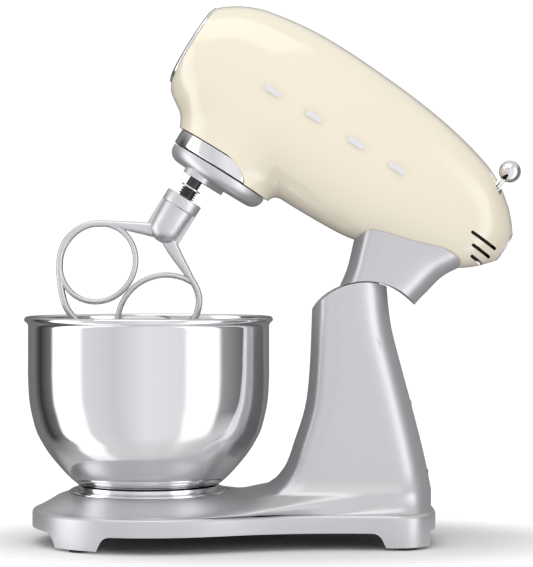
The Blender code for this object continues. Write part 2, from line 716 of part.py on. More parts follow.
def neck_casting():
    """Carries the head: a short neck over the column's round top, and a knuckle round the hinge pin."""
    front = curve_through(
        [(200 * MM, 150 * MM), (211 * MM, 149 * MM), (230 * MM, 146 * MM), (254 * MM, 138 * MM), (290 * MM, 126 * MM)]
    )
    rear = curve_through(
        [(200 * MM, 215 * MM), (235 * MM, 216 * MM), (250 * MM, 219 * MM), (270 * MM, 224 * MM), (290 * MM, 236 * MM)]
    )
    half = curve_through([(200 * MM, COLUMN_HALF), (235 * MM, COLUMN_HALF), (265 * MM, 40 * MM), (290 * MM, 41 * MM)])
    rings = []
    for height in (200, 220, 235, 250, 265, 278, 290):
        z = height * MM
        a, b, h = front(z), rear(z), half(z)
        rings.append(section(a, b, lambda x, a=a, b=b, h=h: column_side(x, a, b, h), lambda x, y, z=z: z))
    body = loft("neck_casting", rings)
    arc = rod("neck_arc", ARC_R + ARC_GAP, -60 * MM, 60 * MM, at=(PIVOT_X, PIVOT_Z), along="Y", segments=72)
    cut(body, arc, head_solid("head_seat", GAP))
    middle, arm, spread = math.radians(120), ARC_R + 10 * MM, math.radians(9.5)
    around = [(KNUCKLE_R, middle + math.radians(a)) for a in range(35, 326, 15)]
    around += [(arm, middle - spread), (arm, middle + spread)]
    outline = [(PIVOT_X + radius * math.cos(turn), PIVOT_Z + radius * math.sin(turn)) for radius, turn in around]
    join(body, plate("knuckle", [outline], -KNUCKLE_HALF, KNUCKLE_HALF, along="Y"))
    cut(body, rod("pin_hole", PIN_R + RUN, -60 * MM, 60 * MM, at=(PIVOT_X, PIVOT_Z), along="Y"))
    cut(body, box("neck_cable_hole", (168 * MM, 192 * MM), (-9 * MM, 9 * MM), (242 * MM, 300 * MM)))
    return finish(body, SILVER)


def head_trim():
    """Round end caps, side bars, vent grilles and the bright ring under the head."""
    nose = [(0, NOSE_X - GAP), (39.5 * MM, NOSE_X - GAP), (39.5 * MM, NOSE_X - 2 * MM), (36 * MM, NOSE_X - 3.2 * MM),
            (20 * MM, NOSE_X - 4 * MM), (0, NOSE_X - 4.2 * MM)]
    finish(turned("nose_disc", nose, at=(0, 0, NOSE_Z), along="X", steps=32), STEEL)
    tail = [(0, TAIL_X + 1.8 * MM), (13.5 * MM, TAIL_X + 1.8 * MM), (15 * MM, TAIL_X + 1.1 * MM), (15 * MM, TAIL_X + GAP),
            (0, TAIL_X + GAP)]
    finish(turned("rear_disc", tail, at=(0, 0, TAIL_Z), along="X", steps=24), STEEL)
    number = 0
    for side in (-1, 1):
        for x in TRIM_X:
            number += 1
            face = head_half(x)
            low, high = sorted((side * (face + 0.5 * MM), side * (face + 2 * MM)))
            bar = rounded_bar(f"trim_bar_{number}", x, TRIM_Z, TRIM_LENGTH, TRIM_HEIGHT, low, high)
            finish(bar, STEEL)
    for name, side in (("vent_grille_left", -1), ("vent_grille_right", 1)):
        body = head_solid(name, -SHELL - GAP)
        room = box(f"{name}_room", (217 * MM, 251.5 * MM), sorted((side * 8 * MM, side * 60 * MM)), (292 * MM, 320 * MM))
        cut(body, head_solid(f"{name}_inside", -SHELL - GAP - 1.2 * MM))
        finish(combine(body, "INTERSECT", [room]), BLACK)
    hub = [(HUB_R, HUB_HIGH), (HUB_R, HUB_LOW + MM), (HUB_R - MM, HUB_LOW), (HUB_R - HUB_WALL, HUB_LOW),
           (HUB_R - HUB_WALL, HUB_HIGH)]
    finish(turned("hub_ring", hub, steps=44, closed=True), STEEL)


# Gears and drive.


def gear_outline(teeth, module, first=0.0, inside=False, at=(0.0, 0.0)):
    """Straight-sided teeth, a little thin so that they turn freely; first is the direction of one tooth."""
    pitch = teeth * module / 2
    out = -1 if inside else 1
    root, tip = pitch - out * 1.15 * module, pitch + out * 0.85 * module
    points = []
    for i in range(teeth):
        middle = first + 2 * math.pi * i / teeth
        step = 2 * math.pi / teeth
        for radius, share in ((root, -0.29), (tip, -0.11), (tip, 0.11), (root, 0.29)):
            turn = middle + share * step
            points.append((at[0] + radius * math.cos(turn), at[1] + radius * math.sin(turn)))
    return points


def belt_outline(grow):
    """Round both pulleys, with straight runs between them."""
    big, small = BIG_PULLEY_R + grow, MOTOR_PULLEY_R + grow
    lean = math.acos((big - small) / (MOTOR_X - LAY_X))
    steps = 14
    turns = [lean + (2 * math.pi - 2 * lean) * i / steps for i in range(steps + 1)]
    points = [(LAY_X + big * math.cos(turn), big * math.sin(turn)) for turn in turns]
    turns = [-lean + 2 * lean * i / 6 for i in range(7)]
    return points + [(MOTOR_X + small * math.cos(turn), small * math.sin(turn)) for turn in turns]


def planetary_drive():
    """Ring gear, main gear and shaft, turning disc, planet pinion and beater shaft."""
    phase = math.atan2(SHAFT_Y, SHAFT_X)
    inner = gear_outline(RING_TEETH, PLANET_MODULE, phase + math.pi / RING_TEETH, inside=True)
    outer = circle(HUB_R - HUB_WALL - GAP, 48)
    finish(plate("ring_gear", [outer, inner], 246 * MM, 255 * MM), GREY_STEEL)
    bearing = SHAFT_R + 8 * MM
    low, high = HUB_HIGH + 0.8 * MM, HUB_HIGH + 4 * MM
    finish(ring("gearbox_plate", bearing + GAP, HUB_R - 1.5 * MM, low, high, steps=48), CAST)
    finish(ring("main_bearing", SHAFT_R + RUN, bearing, low, high), GREY_STEEL)
    cover = rod("gearbox_cover", HUB_R - 2.5 * MM, 275 * MM, 278 * MM, segments=48)
    join(cover, rod("cover_ear", 11 * MM, 275 * MM, 278 * MM, at=(LAY_X, 0)))
    for i in range(4):
        turn = math.pi / 4 + i * math.pi / 2
        out = HUB_R - 5.8 * MM
        place = (out * math.cos(turn), out * math.sin(turn))
        join(cover, rod(f"pillar_{i}", 2.8 * MM, high + GAP, 276 * MM, at=place, segments=12))
    cut(cover, rod("cover_shaft_hole", SHAFT_R + RUN, 270 * MM, 280 * MM))
    finish(cut(cover, rod("cover_lay_hole", 4 * MM + RUN, 270 * MM, 280 * MM, at=(LAY_X, 0), segments=20)), CAST)
    edge = HUB_R - DISC_INSET
    rounding = ((0, 11), (0.8, 7.5), (3, 4.3), (6.5, 1.7), (11, 0))
    profile = [(edge - r * MM, DISC_LOW + z * MM) for r, z in rounding]
    disc = turned("planet_disc", [(0, DISC_HIGH), (edge, DISC_HIGH), *profile, (0, DISC_LOW)], steps=48)
    boss = []
    for centre, radius, start in ((0, SHAFT_R + 7 * MM, math.pi / 2), (ORBIT_R, SHAFT_R + 8 * MM, -math.pi / 2)):
        for i in range(11):
            turn = phase + start + math.pi * i / 10
            across = centre * math.cos(phase) + radius * math.cos(turn)
            along = centre * math.sin(phase) + radius * math.sin(turn)
            boss.append((across, along))
    join(disc, plate("boss", [boss], 225 * MM, 232 * MM))
    cut(disc, rod("shaft_hole", SHAFT_R + RUN, 220 * MM, 250 * MM, at=(SHAFT_X, SHAFT_Y)))
    finish(disc, CAST)
    finish(rod("main_shaft", SHAFT_R, DISC_HIGH + GAP, 282 * MM), GREY_STEEL)
    wheel = gear_outline(MAIN_TEETH, MAIN_MODULE)
    finish(plate("main_gear", [wheel, circle(SHAFT_R + GAP, 32)], GEAR_LOW, GEAR_HIGH), GREY_STEEL)
    shaft = rod("beater_shaft", SHAFT_R, SHAFT_LOW, SHAFT_HIGH, at=(SHAFT_X, SHAFT_Y))
    across = (SHAFT_Y, PIN_CROSS_Z)
    cut(shaft, rod("cross_hole", PIN_CROSS_R + GAP, -30 * MM, 10 * MM, at=across, along="X", segments=16))
    finish(shaft, STEEL)
    low, high = SHAFT_X - PIN_REACH, SHAFT_X + PIN_REACH
    finish(rod("cross_pin", PIN_CROSS_R, low, high, at=across, along="X", segments=16), GREY_STEEL)
    pinion = gear_outline(PINION_TEETH, PLANET_MODULE, phase, at=(SHAFT_X, SHAFT_Y))
    bore = circle(SHAFT_R + GAP, 32, (SHAFT_X, SHAFT_Y))
    finish(plate("planet_pinion", [pinion, bore], 246 * MM, 255 * MM), GREY_STEEL)
    low, high = WASHER_Z, WASHER_Z + 1.5 * MM
    finish(ring("shaft_washer", SHAFT_R + GAP, SHAFT_R + 3.3 * MM, low, high, at=(SHAFT_X, SHAFT_Y, 0)), STEEL)
    turns, per_turn = 3, 10
    radius = (SHAFT_R + GAP + SPRING_WIRE) / math.cos(math.pi / per_turn)
    coil = []
    for i in range(turns * per_turn + 1):
        turn = 2 * math.pi * i / per_turn
        z = SPRING_Z + 7 * MM * i / (turns * per_turn)
        coil.append((SHAFT_X + radius * math.cos(turn), SHAFT_Y + radius * math.sin(turn), z))
    finish(wire("beater_spring", coil, SPRING_WIRE, resolution=1), GREY_STEEL)


def motor_and_belt():
    """Motor, belt stage, layshaft and electrics in the head."""
    lay = rod("layshaft", 4 * MM, 262 * MM, BELT_HIGH + 2 * MM, at=(LAY_X, 0), segments=20)
    teeth = gear_outline(LAY_TEETH, MAIN_MODULE, math.pi + math.pi / LAY_TEETH, at=(LAY_X, 0))
    finish(join(lay, plate("layshaft_teeth", [teeth], GEAR_LOW, GEAR_HIGH)), GREY_STEEL)
    run, edge, bore = BIG_PULLEY_R, BIG_PULLEY_R + 1.5 * MM, 4 * MM + GAP
    big = [(edge, BELT_HIGH), (edge, BELT_HIGH - MM), (run, BELT_HIGH - MM), (run, BELT_LOW + MM)]
    big += [(edge, BELT_LOW + MM), (edge, BELT_LOW), (bore, BELT_LOW), (bore, BELT_HIGH)]
    finish(turned("belt_pulley", big, at=(LAY_X, 0, 0), steps=32, closed=True), BLACK)
    belt = [belt_outline(GAP + 1.6 * MM), belt_outline(GAP)]
    finish(plate("drive_belt", belt, BELT_LOW + 1.4 * MM, BELT_HIGH - 1.4 * MM), RUBBER)
    pulley = ring("motor_pulley", 4 * MM + GAP, MOTOR_PULLEY_R, BELT_LOW, BELT_HIGH, at=(MOTOR_X, 0, 0), steps=20)
    finish(pulley, GREY_STEEL)
    rotor = rod("motor_rotor", 20 * MM, 282 * MM, 336 * MM, at=(MOTOR_X, 0))
    finish(join(rotor, rod("rotor_shaft", 4 * MM, 272 * MM, 374 * MM, at=(MOTOR_X, 0), segments=20)), GREY_STEEL)
    stator = [(MOTOR_R, 342 * MM), (MOTOR_R, 279 * MM), (21 * MM, 279 * MM), (21 * MM, 339 * MM), (4 * MM + RUN, 339 * MM),
              (4 * MM + RUN, 342 * MM)]
    finish(turned("motor_stator", stator, at=(MOTOR_X, 0, 0), steps=32, closed=True), COPPER)
    blades = []
    for i in range(9):
        turn = 2 * math.pi * i / 9
        for radius, share in ((9, -0.16), (24, 0.0), (24, 0.12), (9, 0.16)):
            angle = turn + share
            blades.append((MOTOR_X + radius * MM * math.cos(angle), radius * MM * math.sin(angle)))
    bore = circle(4 * MM + GAP, 20, (MOTOR_X, 0))
    finish(plate("cooling_fan", [blades, bore], 365 * MM, 371 * MM), BLACK)
    board = box("control_board", (190 * MM, 191.6 * MM), (-26 * MM, 26 * MM), (298 * MM, 350 * MM))
    join(board, box("chip", (191 * MM, 196 * MM), (-18 * MM, -4 * MM), (325 * MM, 343 * MM)))
    join(board, rod("capacitor", 5 * MM, 191 * MM, 201 * MM, at=(12 * MM, 335 * MM), along="X", segments=16))
    finish(board, BOARD)
    switch = box("speed_switch", (203 * MM, 214 * MM), (-13 * MM, 13 * MM), (309 * MM, 335 * MM))
    finish(join(switch, rod("switch_axle", 3 * MM, 213 * MM, 228 * MM, at=(0, LEVER_Z), along="X", segments=16)), BLACK)


def speed_control():
    """A lever that swings across the head, with a ball on it."""
    lever = ring("speed_lever", 3 * MM + RUN, 7 * MM, 217 * MM, 225 * MM, at=(0, 0, LEVER_Z), along="X", steps=20)
    down_x, down_z = 221 * MM - KNOB_X, 345 * MM - KNOB_Z
    reach = math.hypot(down_x, down_z)
    top = (KNOB_X + down_x / reach * (KNOB_R + GAP), 0, KNOB_Z + down_z / reach * (KNOB_R + GAP))
    stem = [(LEVER_X, 0, LEVER_Z + 5.5 * MM), (LEVER_X, 0, 340 * MM), (221.3 * MM, 0, 347 * MM), top]
    finish(join(lever, wire("stem", stem, 1.9 * MM, resolution=2)), STEEL)
    bm = bmesh.new()
    place = Matrix.Translation((KNOB_X, 0, KNOB_Z))
    bmesh.ops.create_uvsphere(bm, u_segments=20, v_segments=12, radius=KNOB_R, matrix=place)
    finish(from_bmesh("lever_knob", bm), STEEL)


# Beater and bowl.


def smooth_path(points, steps=4):
    """Points along a smooth path through the given ones."""
    path = []
    for i in range(len(points) - 1):
        before, start = points[max(i - 1, 0)], points[i]
        end, after = points[i + 1], points[min(i + 2, len(points) - 1)]
        for k in range(steps):
            t = k / steps
            path.append(
                tuple(
                    s + ((e - b) * t + (2 * b - 5 * s + 4 * e - a) * t**2 + (3 * s - b - 3 * e + a) * t**3) / 2
                    for b, s, e, a in zip(before, start, end, after)
                )
            )
    return path + [tuple(points[-1])]


def strip(name, path, width, depth, cyclic=False, root=0.0, taper=40 * MM):
    """A bar of rounded section along a path in the beater's plane, widened at its two ends by root."""
    half_w, half_d = width / 2, depth / 2
    corners = [(math.cos(math.radians(a)), half_d * math.sin(math.radians(a))) for a in range(0, 360, 60)]
    bm = bmesh.new()
    rows = []
    count = len(path)
    for i, (u, z) in enumerate(path):
        before = path[(i - 1) % count if cyclic else max(i - 1, 0)]
        after = path[(i + 1) % count if cyclic else min(i + 1, count - 1)]
        du, dz = after[0] - before[0], after[1] - before[1]
        size = math.hypot(du, dz)
        reach = min(math.dist((u, z), path[0]), math.dist((u, z), path[-1]))
        half = half_w + root / 2 * max(0.0, 1 - reach / taper)
        side_u, side_z = half * dz / size, -half * du / size
        rows.append([bm.verts.new((SHAFT_X + u + side_u * w, SHAFT_Y + d, z + side_z * w)) for w, d in corners])
    for i in range(count if cyclic else count - 1):
        first, second = rows[i], rows[(i + 1) % count]
        for k in range(len(corners)):
            j = (k + 1) % len(corners)
            bm.faces.new((first[k], first[j], second[j], second[k]))
    if not cyclic:
        bm.faces.new(rows[0])
        bm.faces.new(rows[-1][::-1])
    bmesh.ops.recalc_face_normals(bm, faces=bm.faces)
    return from_bmesh(name, bm)


FRAME_RIGHT = [(8, 165), (20, 158), (40, 148), (53, 141), (61, 132), (65, 120), (65, 110), (62.5, 100), (57, 88),
               (46, 73), (35, 63.5), (20, 59), (0, 58)]
FRAME_LEFT = [(-20, 59), (-36, 63.5), (-48, 73), (-60, 88), (-67, 100), (-70, 110), (-70, 120), (-66, 131.5),
              (-59, 140.5), (-45, 149.5), (-20, 161), (-8, 166)]


def flat_beater():
    """A collar with a slot for the cross pin, and an open frame with a ring and an arc inside it."""
    rim = SHAFT_R + RUN + COLLAR_WALL
    inward = ((0, 205.5), (0, 196), (1.65, 194.5), (2.95, 172), (5.25, 165), (10.25, 161))
    profile = [(0, 205.5 * MM), *[(rim - r * MM, z * MM) for r, z in inward], (0, 159.5 * MM)]
    body = turned("flat_beater", profile, at=(SHAFT_X, SHAFT_Y, 0), steps=32)
    frame = smooth_path([(u * MM, z * MM) for u, z in FRAME_RIGHT + FRAME_LEFT], steps=2)
    loop = [(-35.7 * MM + 33.5 * MM * math.cos(a), 114 * MM + 36.0 * MM * math.sin(a))
            for a in (2 * math.pi * i / 28 for i in range(28))]
    arc = [(46 * MM + 44 * MM * math.cos(a), 100 * MM + 44 * MM * math.sin(a))
           for a in (math.radians(84 + 150 * i / 14) for i in range(15))]
    join(body, strip("frame", frame, 6 * MM, 9 * MM, root=7 * MM))
    join(body, strip("loop", loop, 5 * MM, 8.4 * MM, cyclic=True), strip("arc", arc, 5 * MM, 7.8 * MM))
    for side in (-1, 1):
        x = SHAFT_X + side * (rim - 2.25 * MM)
        across, deep = (x - 2.2 * MM, x + 2.2 * MM), (SHAFT_Y - 2.5 * MM, SHAFT_Y + 2.5 * MM)
        join(body, box(f"rib{side:+d}", across, deep, (167 * MM, 197 * MM)))
    cut(body, rod("bore", SHAFT_R + RUN, 171 * MM, 210 * MM, at=(SHAFT_X, SHAFT_Y)))
    cut(body, rod("spring_seat", SHAFT_R + 3 * SPRING_WIRE + 2 * RUN, SEAT_FLOOR, 210 * MM, at=(SHAFT_X, SHAFT_Y)))
    across = (SHAFT_X - PIN_REACH - 0.7 * MM, SHAFT_X + PIN_REACH + 0.7 * MM)
    slot = (SHAFT_Y - PIN_CROSS_R - GAP, SHAFT_Y + PIN_CROSS_R + GAP)
    return finish(cut(body, box("pin_slot", across, slot, (180 * MM, 210 * MM))), CAST)


def drawn_in(profile, by):
    """The same profile moved inwards, square to itself."""
    moved = []
    for i, (r, z) in enumerate(profile):
        before, after = profile[max(i - 1, 0)], profile[min(i + 1, len(profile) - 1)]
        dr, dz = after[0] - before[0], after[1] - before[1]
        size = math.hypot(dr, dz)
        moved.append((r + by * dz / size, z - by * dr / size))
    return moved


def bowl_parts():
    """A spun steel bowl with a rolled rim, on a ring foot."""
    roll = [
        (BOWL_RIM_R - ROLL_R + ROLL_R * math.cos(math.radians(a)), BOWL_RIM_Z + ROLL_R * math.sin(math.radians(a)))
        for a in range(165, -81, -60)
    ]
    below = [(110, 197), (110, 150), (109, 131), (106.8, 117), (102.5, 101), (97, 90), (91, 80.5), (83, 70.5), (74, 60.5),
             (66.5, 53.8)]
    outer = [(r * MM, z * MM) for r, z in below] + [(62 * MM, BOWL_FLOOR_Z)]
    inner = drawn_in(outer, BOWL_SHEET)
    profile = roll + outer + [(0, BOWL_FLOOR_Z), (0, BOWL_FLOOR_Z + BOWL_SHEET)] + inner[::-1]
    finish(turned("bowl", profile, steps=44, closed=True), STEEL)
    finish(ring("bowl_foot", 60 * MM, BOWL_FOOT_R, 46.5 * MM, BOWL_FLOOR_Z - GAP, steps=48), STEEL)


# Assembly: each moving body hangs from an empty on its joint's axis.

BODY_AXES = {
    "head": ((PIVOT_X, 0, PIVOT_Z), "mixer"),
    "planet": ((0, 0, DISC_HIGH), "head"),
    "beater_drive": ((SHAFT_X, SHAFT_Y, DISC_HIGH), "planet"),
    "beater": ((SHAFT_X, SHAFT_Y, PIN_CROSS_Z), "beater_drive"),
    "layshaft_body": ((LAY_X, 0, GEAR_HIGH), "head"),
    "rotor_body": ((MOTOR_X, 0, BELT_LOW), "head"),
    "lever": ((LEVER_X, 0, LEVER_Z), "head"),
    "bowl_body": ((0, 0, BOWL_FLOOR_Z), "mixer"),
    "button": ((column_rear(BUTTON_Z), 0, BUTTON_Z), "mixer"),
}
BODY_PARTS = {
    "planet": ("planet_disc", "main_shaft", "main_gear"),
    "beater_drive": ("beater_shaft", "planet_pinion", "cross_pin", "shaft_washer", "beater_spring"),
    "beater": ("flat_beater",),
    "layshaft_body": ("layshaft", "belt_pulley"),
    "rotor_body": ("motor_rotor", "motor_pulley", "cooling_fan"),
    "lever": ("speed_lever", "lever_knob"),
    "bowl_body": ("bowl", "bowl_foot"),
    "button": ("release_button",),
    "head": (
        "neck_casting", "head_housing", "nose_disc", "rear_disc", "trim_bar", "vent_grille", "hub_ring", "ring_gear",
        "gearbox_plate", "gearbox_cover", "main_bearing", "motor_stator", "control_board",
        "speed_switch", "drive_belt",
    ),
}


def hang(made, empty):
    """Parents an object, and whatever cuts or joins it, without moving it."""
    made.parent = empty
    made.matrix_parent_inverse = empty.matrix_world.inverted()
    for modifier in made.modifiers:
        if modifier.type == "BOOLEAN" and modifier.object.parent is None:
            hang(modifier.object, empty)


def assemble():
    empties = {"mixer": bpy.data.objects.new("mixer", None)}
    PARTS.objects.link(empties["mixer"])
    for name, (place, parent) in BODY_AXES.items():
        empty = bpy.data.objects.new(name, None)
        empty.location = place
        PARTS.objects.link(empty)
        bpy.context.view_layer.update()
        empty.parent = empties[parent]
        empty.matrix_parent_inverse = empties[parent].matrix_world.inverted()
        empties[name] = empty
    bpy.context.view_layer.update()
    for made in [one for one in PARTS.objects if one.type == "MESH"]:
        body = next((body for body, starts in BODY_PARTS.items() if made.name.startswith(starts)), "mixer")
        hang(made, empties[body])
    empties["head"].rotation_euler = (0, TILT, 0)
    empties["mixer"].location = (-MIDDLE_X, 0, 0)
    bpy.context.view_layer.update()


stand_casting()
base_parts()
column_parts()
head_housing()
neck_casting()
head_trim()
planetary_drive()
motor_and_belt()
speed_control()
flat_beater()
bowl_parts()
assemble()
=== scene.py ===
"""The looks of a tilt-head stand mixer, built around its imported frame. Metres, +Z up."""

import json
import math

import bmesh
import bpy
from mathutils import Matrix, Vector


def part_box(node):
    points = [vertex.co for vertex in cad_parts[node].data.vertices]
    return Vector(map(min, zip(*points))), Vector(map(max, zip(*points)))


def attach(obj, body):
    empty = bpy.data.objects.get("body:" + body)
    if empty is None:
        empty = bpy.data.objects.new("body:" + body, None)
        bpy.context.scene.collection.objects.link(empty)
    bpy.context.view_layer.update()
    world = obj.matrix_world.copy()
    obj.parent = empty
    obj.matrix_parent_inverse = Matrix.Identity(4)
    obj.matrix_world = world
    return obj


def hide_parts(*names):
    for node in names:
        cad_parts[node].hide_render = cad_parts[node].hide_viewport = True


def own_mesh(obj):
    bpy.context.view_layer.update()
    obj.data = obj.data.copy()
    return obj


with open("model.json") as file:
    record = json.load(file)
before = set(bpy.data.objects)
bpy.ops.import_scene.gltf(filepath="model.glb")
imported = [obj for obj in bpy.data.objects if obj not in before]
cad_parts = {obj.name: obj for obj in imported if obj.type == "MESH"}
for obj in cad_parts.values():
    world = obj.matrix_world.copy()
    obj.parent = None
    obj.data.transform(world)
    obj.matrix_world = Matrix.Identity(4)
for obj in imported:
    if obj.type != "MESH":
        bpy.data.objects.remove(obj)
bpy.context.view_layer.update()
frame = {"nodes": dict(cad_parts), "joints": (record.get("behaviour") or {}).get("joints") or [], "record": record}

MM = 0.001
NODES = frame["nodes"]
JOINTS = {joint["name"]: joint for joint in frame["joints"]}


def middle(node):
    low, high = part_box(node)
    return (Vector(low) + Vector(high)) / 2


# Places read from the frame. Shapes are drawn from the bowl's axis, the head's with the head closed.
TILT = -math.radians(JOINTS["head_tilt"]["range_deg"][0])
PIVOT = Vector(JOINTS["head_tilt"]["pos_m"])
AXIS_X = middle("bowl").x
PIVOT_X = PIVOT.x - AXIS_X
PIVOT_Z = PIVOT.z
ON_STAND = Matrix.Translation((AXIS_X, 0, 0))
ON_HEAD = (
    Matrix.Translation(PIVOT)
    @ Matrix.Rotation(TILT, 4, "Y")
    @ Matrix.Translation((-PIVOT_X, 0, -PIVOT_Z))
)
OFF_HEAD = ON_HEAD.inverted()
SHAFT = OFF_HEAD @ Vector(JOINTS["beater_spin"]["pos_m"])
SHAFT_X, SHAFT_Y = SHAFT.x, SHAFT.y

# Camera.
CAMERA_AT = (AXIS_X + 107.1 * MM, -1951 * MM, 250.7 * MM)
FOCAL = 135.4
SHIFT_X, SHIFT_Y = 0.00088183, -0.0308642


def make_camera():
    data = bpy.data.cameras.new("camera")
    data.lens = FOCAL
    data.sensor_width = 36
    data.sensor_fit = "AUTO"
    data.shift_x = SHIFT_X
    data.shift_y = SHIFT_Y
    data.dof.use_dof = False
    made = bpy.data.objects.new("camera", data)
    made.location = CAMERA_AT
    made.rotation_euler = (math.pi / 2, 0, 0)
    bpy.context.scene.collection.objects.link(made)
    bpy.context.scene.camera = made


make_camera()

# Materials.


class Look:
    """A node material that is put together step by step."""

    def __init__(self, name, colour, roughness, metallic=0.0, **sockets):
        self.material = bpy.data.materials.new(name)
        self.material.use_nodes = True
        self.nodes = self.material.node_tree.nodes
        self.links = self.material.node_tree.links
        self.shader = self.nodes["Principled BSDF"]
        self.set("Base Color", (*colour, 1.0))
        self.set("Roughness", roughness)
        self.set("Metallic", metallic)
        for socket, value in sockets.items():
            self.set(socket.replace("_", " "), value)
        self.place = self.nodes.new("ShaderNodeTexCoord").outputs["Object"]
        self.colour = colour
        self.normal = None

    def set(self, socket, value):
        self.shader.inputs[socket].default_value = value

    def add(self, kind, **values):
        node = self.nodes.new(kind)
        for name, value in values.items():
            if name in node.inputs:
                node.inputs[name].default_value = value
            else:
                setattr(node, name, value)
        return node

    def noise(self, scale, detail=3.0, stretch=(1, 1, 1)):
        spread = self.add("ShaderNodeMapping")
        spread.inputs["Scale"].default_value = stretch
        self.links.new(self.place, spread.inputs["Vector"])
        node = self.add("ShaderNodeTexNoise")
        node.inputs["Scale"].default_value = scale
        node.inputs["Detail"].default_value = detail
        self.links.new(spread.outputs["Vector"], node.inputs["Vector"])
        return node.outputs["Fac"]

    def spread(self, value, low, high):
        """The value's middle part, 0.3 to 0.7, stretched between two numbers."""
        node = self.add("ShaderNodeMapRange")
        node.inputs["From Min"].default_value = 0.3
        node.inputs["From Max"].default_value = 0.7
        node.inputs["To Min"].default_value = low
        node.inputs["To Max"].default_value = high
        self.links.new(value, node.inputs["Value"])
        return node.outputs["Result"]

    def rough(self, value, low, high):
        self.links.new(self.spread(value, low, high), self.shader.inputs["Roughness"])
        return self

    def tint(self, value, low, high):
        """Varies the base colour between two shades of itself."""
        node = self.add("ShaderNodeMix", data_type="RGBA")
        node.inputs[6].default_value = (*[c * low for c in self.colour], 1)
        node.inputs[7].default_value = (*[min(c * high, 1) for c in self.colour], 1)
        self.links.new(self.spread(value, 0, 1), node.inputs["Factor"])
        self.links.new(node.outputs[2], self.shader.inputs["Base Color"])
        return self

    def bump(self, value, strength, distance):
        node = self.add("ShaderNodeBump")
        node.inputs["Strength"].default_value = strength
        node.inputs["Distance"].default_value = distance
        self.links.new(value, node.inputs["Height"])
        if self.normal:
            self.links.new(self.normal, node.inputs["Normal"])
        self.normal = node.outputs["Normal"]
        self.links.new(self.normal, self.shader.inputs["Normal"])
        return self


def enamel():
    look = Look("cream_enamel", (0.80, 0.74, 0.585), 0.22, Coat_Weight=0.85, Coat_Roughness=0.04)
    look.tint(look.noise(6, 2), 0.985, 1.015)
    look.rough(look.noise(900, 2), 0.19, 0.26)
    return look.bump(look.noise(260, 2), 0.05, 0.0002).material


def silver_paint():
    look = Look("silver_paint", (0.60, 0.60, 0.615), 0.38, 0.75, Coat_Weight=0.25, Coat_Roughness=0.25)
    look.tint(look.noise(2600, 2), 0.93, 1.07)
    look.rough(look.noise(1500, 2), 0.34, 0.44)
    return look.bump(look.noise(2200, 2), 0.06, 0.0001).material


def polished(name, shade=0.78, roughness=0.07, stretch=(1, 1, 1)):
    look = Look(name, (shade, shade, shade * 1.015), roughness, 1.0)
    look.rough(look.noise(700, 3, stretch), roughness * 0.8, roughness * 1.3)
    return look.bump(look.noise(900, 2, stretch), 0.02, 0.0001).material


def cast():
    look = Look("cast_aluminium", (0.66, 0.66, 0.67), 0.4, 0.9)
    look.tint(look.noise(1600, 3), 0.95, 1.05)
    look.rough(look.noise(900, 3), 0.36, 0.46)
    return look.bump(look.noise(1800, 2), 0.04, 0.0001).material


def turned_steel():
    look = Look("turned_steel", (0.5, 0.5, 0.52), 0.3, 1.0)
    look.rough(look.noise(500, 3), 0.24, 0.38)
    return look.bump(look.noise(900, 2), 0.05, 0.0001).material


def plain(name, colour, roughness, grain=900, metallic=0.0, depth=0.1):
    look = Look(name, colour, roughness, metallic)
    look.tint(look.noise(grain, 3), 0.85, 1.15)
    look.rough(look.noise(grain * 0.6, 3), roughness * 0.85, min(roughness * 1.15, 1))
    return look.bump(look.noise(grain, 2), depth, 0.0002).material


def mesh_cloth():
    """Fine dark metal mesh behind the vents."""
    look = Look("vent_mesh", (0.05, 0.05, 0.052), 0.45, 0.8)
    waves = []
    for direction in ("X", "Z"):
        wave = look.add("ShaderNodeTexWave", bands_direction=direction)
        wave.inputs["Scale"].default_value = 260
        look.links.new(look.place, wave.inputs["Vector"])
        waves.append(wave.outputs["Fac"])
    both = look.add("ShaderNodeMath", operation="MULTIPLY")
    look.links.new(waves[0], both.inputs[0])
    look.links.new(waves[1], both.inputs[1])
    look.tint(both.outputs[0], 0.3, 2.2)
    return look.bump(both.outputs[0], 0.6, 0.0005).material


CREAM = enamel()
SILVER = silver_paint()
CHROME = polished("chrome", 0.82, 0.045)
BOWL_STEEL = polished("bowl_steel", 0.76, 0.075, (1, 1, 14))
CAST = cast()
STEEL = turned_steel()
RUBBER = plain("rubber", (0.022, 0.022, 0.022), 0.75)
BLACK = plain("black_plastic", (0.045, 0.045, 0.047), 0.5)
DARK = plain("dark_steel", (0.06, 0.06, 0.065), 0.3, metallic=0.9)
BRONZE = plain("bronze", (0.62, 0.45, 0.2), 0.35, metallic=1.0)
WINDING = plain("winding", (0.5, 0.22, 0.1), 0.45, 300, metallic=0.5)
BOARD = plain("board", (0.04, 0.2, 0.09), 0.5, 300)
MESH = mesh_cloth()

CAD_LOOKS = {
    "cream_shell": CREAM,
    "silver_paint": SILVER,
    "bright_steel": CHROME,
    "bowl_steel": BOWL_STEEL,
    "cast_aluminium": CAST,
    "grey_steel": STEEL,
    "bronze": BRONZE,
    "rubber": RUBBER,
    "black_plastic": BLACK,
    "motor_winding": WINDING,
    "circuit_board": BOARD,
}
for entry in frame["record"]["subparts"]:
    node = NODES[entry["node"]]
    node.data.materials.clear()
    node.data.materials.append(CAD_LOOKS[entry["material_slot"]])
for name in ("vent_grille_left", "vent_grille_right"):
    NODES[name].data.materials[0] = MESH
SLOT_OF = {look.name: slot for slot, look in CAD_LOOKS.items()}
SLOT_OF["vent_mesh"] = "black_plastic"
SLOT_OF["dark_steel"] = "grey_steel"

# Stage: a white floor, a soft sky and strip lights.


